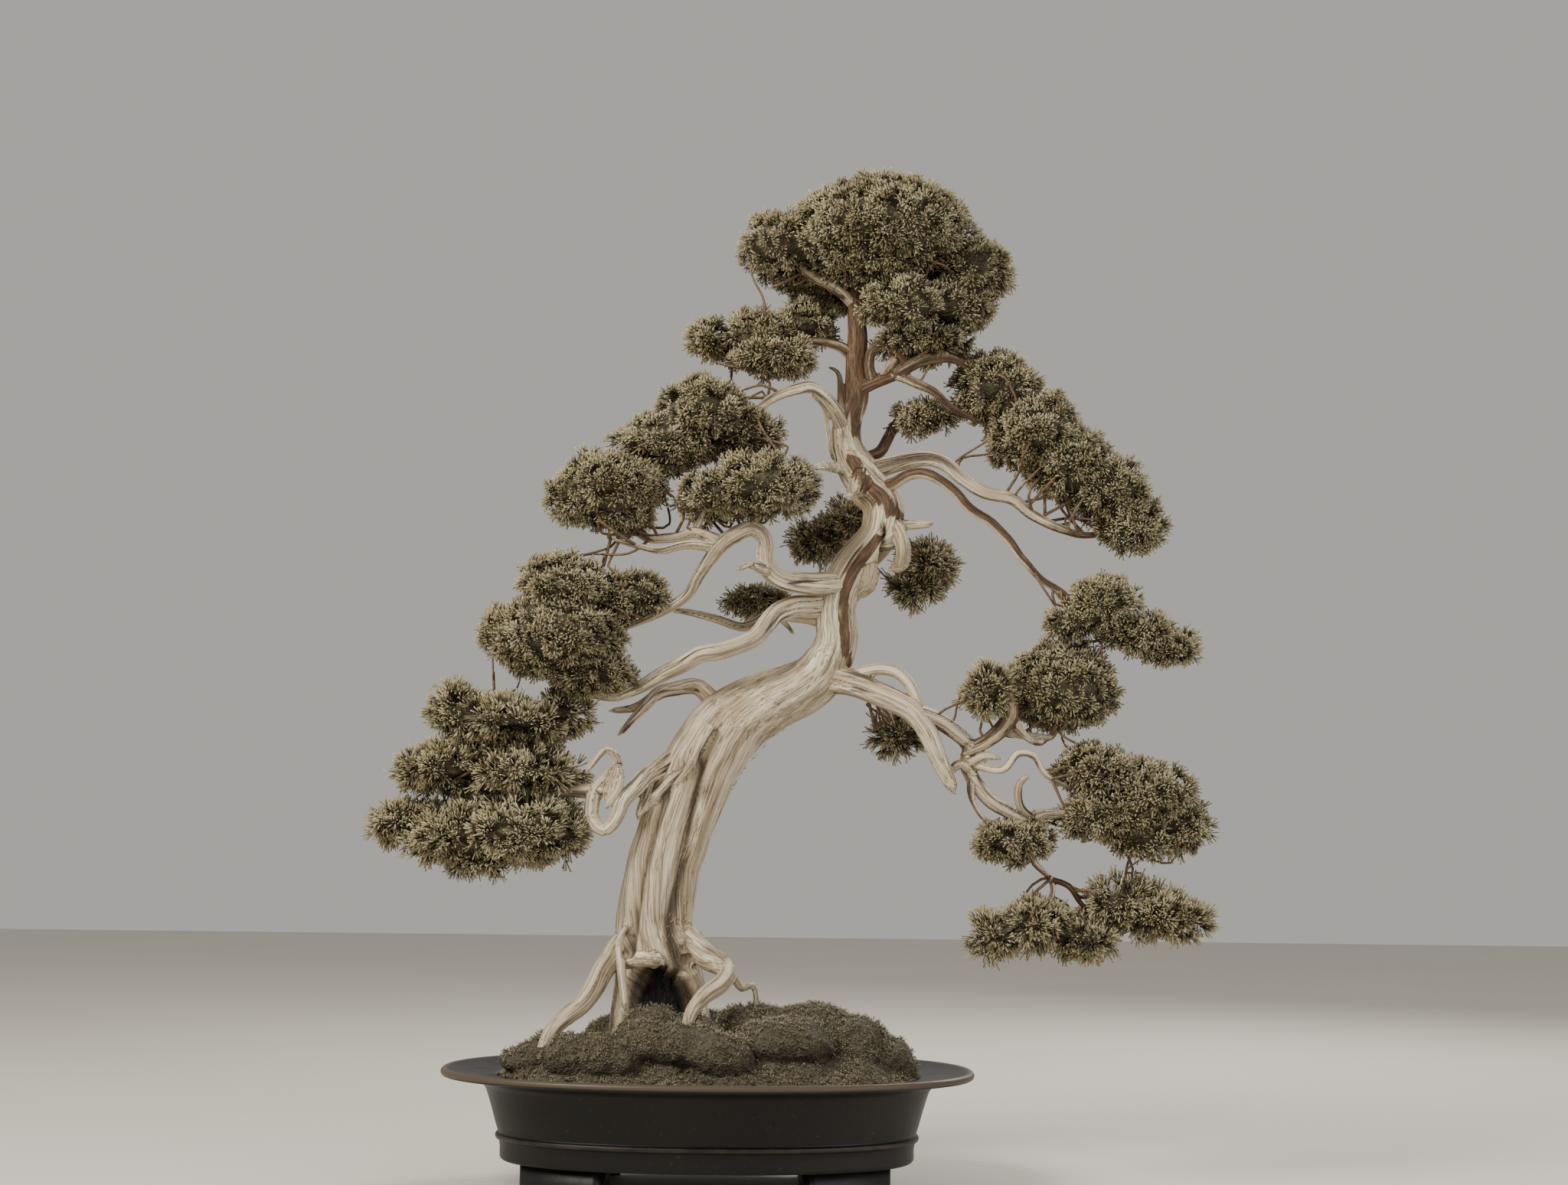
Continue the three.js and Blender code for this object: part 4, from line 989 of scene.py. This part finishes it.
def twigs():
    """Thin twigs from the limbs into the foliage that each of them carries."""
    samples = [Vector(c) for lines in LIMB_LINES.values() for points in lines
               for c in Line(points, spacing=8.0).centres]
    table = np.array(samples)
    bm = bmesh.new()
    rng = np.random.default_rng(77)
    for pads in FOLIAGE_GROUPS.values():
        for pad in pads:
            ends, facing = spots_on(pad, lambda area: max(4, round(area / TWIG_AREA)), rng)
            ends = (ends - facing * TWIG_SUNK * MM - np.array(POT_MIDDLE)) / MM
            for end in ends:
                nearest = np.linalg.norm(table - end, axis=1).argsort()[:TWIG_STARTS]
                start = table[rng.choice(nearest)]
                run = end - start
                bend = rng.normal(size=3) * np.linalg.norm(run) * 0.16
                places = (start, start + run * 0.35 + bend, start + run * 0.7 - bend * 0.5, end)
                points = [[*place, thick] for place, thick in zip(places, TWIG_THICKNESS)]
                skin(bm, Line(points, spacing=9.0), sides=5)
    bmesh.ops.recalc_face_normals(bm, faces=bm.faces)
    finished("fine_twigs", mesh_of(bm, "fine_twigs"), TWIG, slot="bark")


FIBRE_FROM, FIBRE_TO = 210, 480
FIBRE_LEFT_OF = 118


def loose_fibres():
    """Frayed wood standing off the right-hand edge of the lower trunk."""
    rng = np.random.default_rng(12)
    spots, facing = spots_on("trunk", 5200, rng)
    height = (spots[:, 2] - POT_MIDDLE.z) / MM
    edge = ((facing[:, 0] > 0.35) & (height > FIBRE_FROM) & (height < FIBRE_TO)
            & (spots[:, 0] < at(FIBRE_LEFT_OF, 0, 0).x))
    spots, facing = spots[edge], facing[edge]
    ways = unit(facing * 0.55 + (0.1, 0, 0.75) + rng.normal(size=facing.shape) * 0.35)
    strands = [spray(70 + seed, 1, 8 * MM, 0.6 * MM, 0.25, 0.2) for seed in range(4)]
    mesh = scattered("loose_fibres", strands, spots - ways * 1.5 * MM, ways,
                     rng.uniform(0.4, 1.2, len(spots)), rng)
    finished("loose_fibres", mesh, FIBRE, slot="deadwood")


foliage()
twigs()
loose_fibres()


# ---- soil and moss ----
MOSS_DENSITY = 1.25e5   # sprigs to a square metre
MOSS_SKIN = 2.8
MOSS_SETTLING = 7
MOSS_FOOT = 94          # nothing grows below this
GRAIN_COUNT = 4200
GRAIN_RADIUS = 1.5
SOIL_HALF_LENGTH, SOIL_HALF_DEPTH = [
    (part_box("soil")[1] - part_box("soil")[0])[axis] / 2 / MM for axis in (0, 1)]


def from_edge(spots):
    """0 at the soil's edge inside the pot, 1 from a little way in."""
    share = ((abs(spots[:, 0]) / SOIL_HALF_LENGTH) ** FULLNESS
             + (abs(spots[:, 1]) / SOIL_HALF_DEPTH) ** FULLNESS)
    return np.clip((1 - share) * 4, 0, 1)


def moss():
    """One blanket of moss over the mound, thick where it swells and thin where the soil shows."""
    nodes = [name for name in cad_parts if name.startswith("moss_")]
    bm = bmesh.new()
    for name in [*nodes, "soil"]:
        bm.from_mesh(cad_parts[name].data)

    def blanket(holder):
        skin_step = holder.modifiers.new("even_skin", "REMESH")
        skin_step.mode = "VOXEL"
        skin_step.voxel_size = MOSS_SKIN * MM
        settle = holder.modifiers.new("settle", "SMOOTH")
        settle.factor = 0.5
        settle.iterations = MOSS_SETTLING

    mesh = with_modifiers(mesh_of(bm, "moss_blanket"), "moss_blanket", blanket)
    spots = in_millimetres(mesh)
    out = rough(spots / 19, 60) * 3.2 + rough(spots / 7, 61) * 1.8 + rough(spots / 2.6, 62) * 0.7
    out = (out + 1.2) * from_edge(spots)
    set_coordinates(mesh, coordinates(mesh) + normals_of(mesh) * out[:, None] * MM)
    finished("moss_blanket", mesh, CUSHION, nodes, "moss")
    corners = np.array([polygon.center[:] for polygon in mesh.polygons])
    facing = np.array([polygon.normal[:] for polygon in mesh.polygons])
    area = np.array([polygon.area for polygon in mesh.polygons])
    rng = np.random.default_rng(900)
    places = (corners - np.array(POT_MIDDLE)) / MM
    cover = np.clip(rough(places / 16, 64) * 0.9 + 0.75, 0.12, 1)
    keep = (facing[:, 2] > -0.1) & (places[:, 2] > MOSS_FOOT) & (from_edge(places) > 0.03)
    weight = area * cover * keep
    pick = rng.choice(len(area), round(weight.sum() * MOSS_DENSITY), p=weight / weight.sum())
    ways = unit(facing[pick] + rng.normal(size=(len(pick), 3)) * 0.45)
    spots = corners[pick] + rng.normal(size=(len(pick), 3)) * 1.0 * MM - ways * 1.0 * MM
    sprigs = [spray(40 + seed, 4, 4.0 * MM, 0.8 * MM, 0.8, 0.3) for seed in range(4)]
    fuzz = scattered("moss_sprigs", sprigs, spots, ways, rng.uniform(0.6, 1.25, len(spots)), rng)
    finished("moss_sprigs", fuzz, MOSS, slot="moss")


def soil():
    """The gritty soil: a skin just under the moss, and loose grains that show where the moss is thin."""
    finished("soil_surface", roughened("soil", 4.5, 14, 0.8, 30, 1.2), SOIL, ["soil"], "soil")
    rng = np.random.default_rng(31)
    spots, ways = spots_on("soil", GRAIN_COUNT, rng)
    lit = (ways[:, 2] > 0.5) & (spots[:, 2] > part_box("soil")[1].z - 0.05)
    bm = bmesh.new()
    bmesh.ops.create_icosphere(bm, subdivisions=1, radius=GRAIN_RADIUS * MM)
    bm.verts.index_update()
    grains = parts_of(bm)
    spots = spots[lit] + ways[lit] * 1.6 * MM
    mesh = scattered("soil_grains", [grains], spots, ways[lit], rng.uniform(0.5, 1.2, lit.sum()), rng)
    finished("soil_grains", mesh, SOIL, slot="soil", smooth=False)


moss()
soil()


# ---- the pot ----
HALF_LENGTH = (POT_HIGH.x - POT_LOW.x) / 2 / MM
LESS_DEPTH = HALF_LENGTH - (POT_HIGH.y - POT_LOW.y) / 2 / MM
LIP_TOP = POT_HIGH.z / MM
LIP_WIDTH = 43
WALL_BATTER = 13
WALL_THICKNESS = 9
FLOOR_THICKNESS = 10
FOOT_HEIGHT = 26
FOOT_GAP = 96
BEAD_HEIGHT = 48
HOLE_SPACING = 170
HOLE_SIZE = 26
WALL_TOP = HALF_LENGTH - LIP_WIDTH
WALL_FOOT = WALL_TOP - WALL_BATTER
OPENING = WALL_TOP - WALL_THICKNESS
FLOOR_TOP = FOOT_HEIGHT + FLOOR_THICKNESS
FOOT_EDGE = WALL_FOOT - 9


def arc(x, z, radius, first, last, steps=7):
    turns = [math.radians(first + (last - first) * i / steps) for i in range(steps + 1)]
    return [(x + radius * math.cos(t), z + radius * math.sin(t)) for t in turns]


def oval(radius, turn):
    """A point of the pot's plan: every ring keeps its distance from the lip's edge."""
    depth = radius - LESS_DEPTH if radius > LESS_DEPTH * 2 else radius / 2
    across, along = math.cos(turn), math.sin(turn)
    return (radius * math.copysign(abs(across) ** (2 / FULLNESS), across),
            depth * math.copysign(abs(along) ** (2 / FULLNESS), along))


def turned(outline, first, last, steps, closed):
    """An outline of [radius, height] carried round the pot's oval plan."""
    bm = bmesh.new()
    wear = bm.verts.layers.float.new("wear")
    verts = [bm.verts.new((radius, 0, height)) for radius, height in outline]
    pairs = list(zip(verts, verts[1:])) + ([(verts[-1], verts[0])] if closed else [])
    edges = [bm.edges.new(pair) for pair in pairs]
    bmesh.ops.rotate(bm, verts=verts, matrix=Matrix.Rotation(first, 3, "Z"))
    whole = abs(last - first - math.tau) < 1e-6
    bmesh.ops.spin(bm, geom=verts + edges, axis=(0, 0, 1), angle=last - first, steps=steps,
                   use_merge=whole)
    bmesh.ops.remove_doubles(bm, verts=bm.verts, dist=1e-4)
    for v in bm.verts:
        radius, turn = math.hypot(v.co.x, v.co.y), math.atan2(v.co.y, v.co.x)
        height = v.co.z
        # Marks the lip's rounded edge and the bead for wear and a painted highlight in the glaze.
        on_bead = abs(height - BEAD_HEIGHT) < 2.4 and radius > WALL_FOOT + 2.6
        on_lip = radius > HALF_LENGTH - 4 and height > LIP_TOP - 5
        v[wear] = 1.0 if on_lip else 0.55 if on_bead else 0.0
        x, y = oval(radius, turn) if radius > 1e-6 else (0, 0)
        v.co = at(x, y, height)
    if not whole:
        bmesh.ops.holes_fill(bm, edges=bm.edges, sides=0)
    bmesh.ops.recalc_face_normals(bm, faces=bm.faces)
    return bm


def pot():
    outline = [(0, FOOT_HEIGHT), (WALL_FOOT - 60, FOOT_HEIGHT), (WALL_FOOT - 9, FOOT_HEIGHT),
               *arc(WALL_FOOT - 4, FOOT_HEIGHT + 4, 4, -90, 0, 5), (WALL_FOOT, 38), (WALL_FOOT + 0.8, 43.6),
               *arc(WALL_FOOT + 1.6, BEAD_HEIGHT, 3, -80, 80), (WALL_FOOT + 2.2, 52.4), (WALL_FOOT + 4, 58),
               (WALL_FOOT + 8, 72), (WALL_TOP - 2, 82), (WALL_TOP + 1, 91), (WALL_TOP + 4, 95),
               (WALL_TOP + 9, 97.4), (WALL_TOP + 20, 100),
               *arc(HALF_LENGTH - 3.5, LIP_TOP - 3.5, 3.5, -75, 95, 9),
               (HALF_LENGTH - 9, LIP_TOP - 1), (HALF_LENGTH - 26, LIP_TOP - 4), (OPENING + 7, LIP_TOP - 6),
               *arc(OPENING + 3, LIP_TOP - 9, 3, 80, 180, 5), (OPENING - 2, 62), (WALL_FOOT - 11, 45),
               *arc(WALL_FOOT - 25, FLOOR_TOP + 4, 4, 0, -90, 4), (WALL_FOOT - 70, FLOOR_TOP), (0, FLOOR_TOP)]
    body = turned(outline, 0, math.tau, 200, False)
    mesh = mesh_of(body, "pot")
    cutters = []
    for side in (-1, 1):
        bm = bmesh.new()
        bmesh.ops.create_cone(bm, cap_ends=True, segments=48, radius1=HOLE_SIZE / 2 * MM,
                              radius2=HOLE_SIZE / 2 * MM, depth=30 * MM,
                              matrix=Matrix.Translation(
                                  at(side * HOLE_SPACING / 2, 0, (FOOT_HEIGHT + FLOOR_TOP) / 2)))
        cutter = bpy.data.objects.new("drain_cutter", mesh_of(bm, "drain_cutter"))
        bpy.context.scene.collection.objects.link(cutter)
        cutters.append(cutter)

    def drilled(holder):
        for cutter in cutters:
            step = holder.modifiers.new("drain", "BOOLEAN")
            step.object = cutter
            step.operation = "DIFFERENCE"
            step.solver = "EXACT"

    mesh = with_modifiers(mesh, "pot", drilled)
    for cutter in cutters:
        bpy.data.objects.remove(cutter)
    joined = bmesh.new()
    joined.from_mesh(mesh)
    for low, high in feet_turns():
        foot = turned([(FOOT_EDGE - 20, 0), *arc(FOOT_EDGE - 3, 3, 3, -90, 0, 4),
                       (FOOT_EDGE, FOOT_HEIGHT + 2), (FOOT_EDGE - 22, FOOT_HEIGHT + 2)], low, high, 24, True)
        joined.from_mesh(mesh_of(foot, "foot"))
    finished("pot_body", mesh_of(joined, "pot_body"), GLAZE, ["pot"], "glaze")


def feet_turns():
    """Where each foot starts and ends round the oval: clear of the gaps at the front and the sides."""
    from_side = math.asin((FOOT_GAP / 2 / (FOOT_EDGE - LESS_DEPTH)) ** (FULLNESS / 2))
    from_front = math.acos((FOOT_GAP / FOOT_EDGE) ** (FULLNESS / 2))
    for quarter in range(4):
        low, high = (from_side, from_front) if quarter % 2 == 0 else (
            math.pi / 2 - from_front, math.pi / 2 - from_side)
        yield quarter * math.pi / 2 + low, quarter * math.pi / 2 + high


pot()
for node in ("drain_screen_left", "drain_screen_right"):
    for material_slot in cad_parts[node].material_slots:
        material_slot.material = SCREEN


# ---- floor, light and camera ----
LAMPS = (
    # name, place, size, power, colour
    ("key", (-1.6, -1.6, 2.0), 1.1, 92, (1.0, 0.96, 0.88)),
    ("fill", (1.9, -1.5, 1.0), 1.8, 22, (0.95, 0.96, 1.0)),
    ("rim", (1.1, 1.6, 1.7), 0.9, 36, (1.0, 0.97, 0.92)),
)
LAMPS_AIM = Vector((0, 0, 0.5))
ROOM_COLOUR = (0.86, 0.83, 0.78, 1)
ROOM_LIGHT = 0.52
EYE_PLACE = (66, -2200, 316)
EYE_TILT = 96.3
EYE_ROLL = 0.65
FOCAL_LENGTH = 52.98
SENSOR_WIDTH = 36.0


def studio():
    bm = bmesh.new()
    bmesh.ops.create_grid(bm, x_segments=1, y_segments=1, size=6.0)
    floor = bpy.data.objects.new("floor", mesh_of(bm, "floor"))
    bpy.context.scene.collection.objects.link(floor)
    pale = Finish("pale_floor")
    tone = pale.cloud(pale.place(), 2.0, 2)
    floor.data.materials.append(pale.surface(
        Base_Color=pale.blend(tone, paint(206, 201, 190), paint(214, 209, 199)), Roughness=tone * 0.1 + 0.7))
    for name, place, size, power, colour in LAMPS:
        lamp = bpy.data.lights.new(name, "AREA")
        lamp.size = size
        lamp.energy = power
        lamp.color = colour
        light = bpy.data.objects.new(name, lamp)
        light.location = place
        light.rotation_euler = (Vector(place) - LAMPS_AIM).to_track_quat("Z", "Y").to_euler()
        bpy.context.scene.collection.objects.link(light)
    world = bpy.data.worlds.new("soft_room")
    bpy.context.scene.world = world
    world.use_nodes = True
    room = world.node_tree.nodes["Background"]
    room.inputs["Color"].default_value = ROOM_COLOUR
    room.inputs["Strength"].default_value = ROOM_LIGHT


def camera():
    lens = bpy.data.cameras.new("camera")
    lens.lens = FOCAL_LENGTH
    lens.sensor_width = SENSOR_WIDTH
    eye = bpy.data.objects.new("camera", lens)
    tilt = Matrix.Rotation(math.radians(EYE_TILT), 4, "X")
    roll = Matrix.Rotation(math.radians(EYE_ROLL), 4, "Z")
    eye.matrix_world = Matrix.Translation(at(*EYE_PLACE)) @ tilt @ roll
    bpy.context.scene.collection.objects.link(eye)
    bpy.context.scene.camera = eye


studio()
camera()
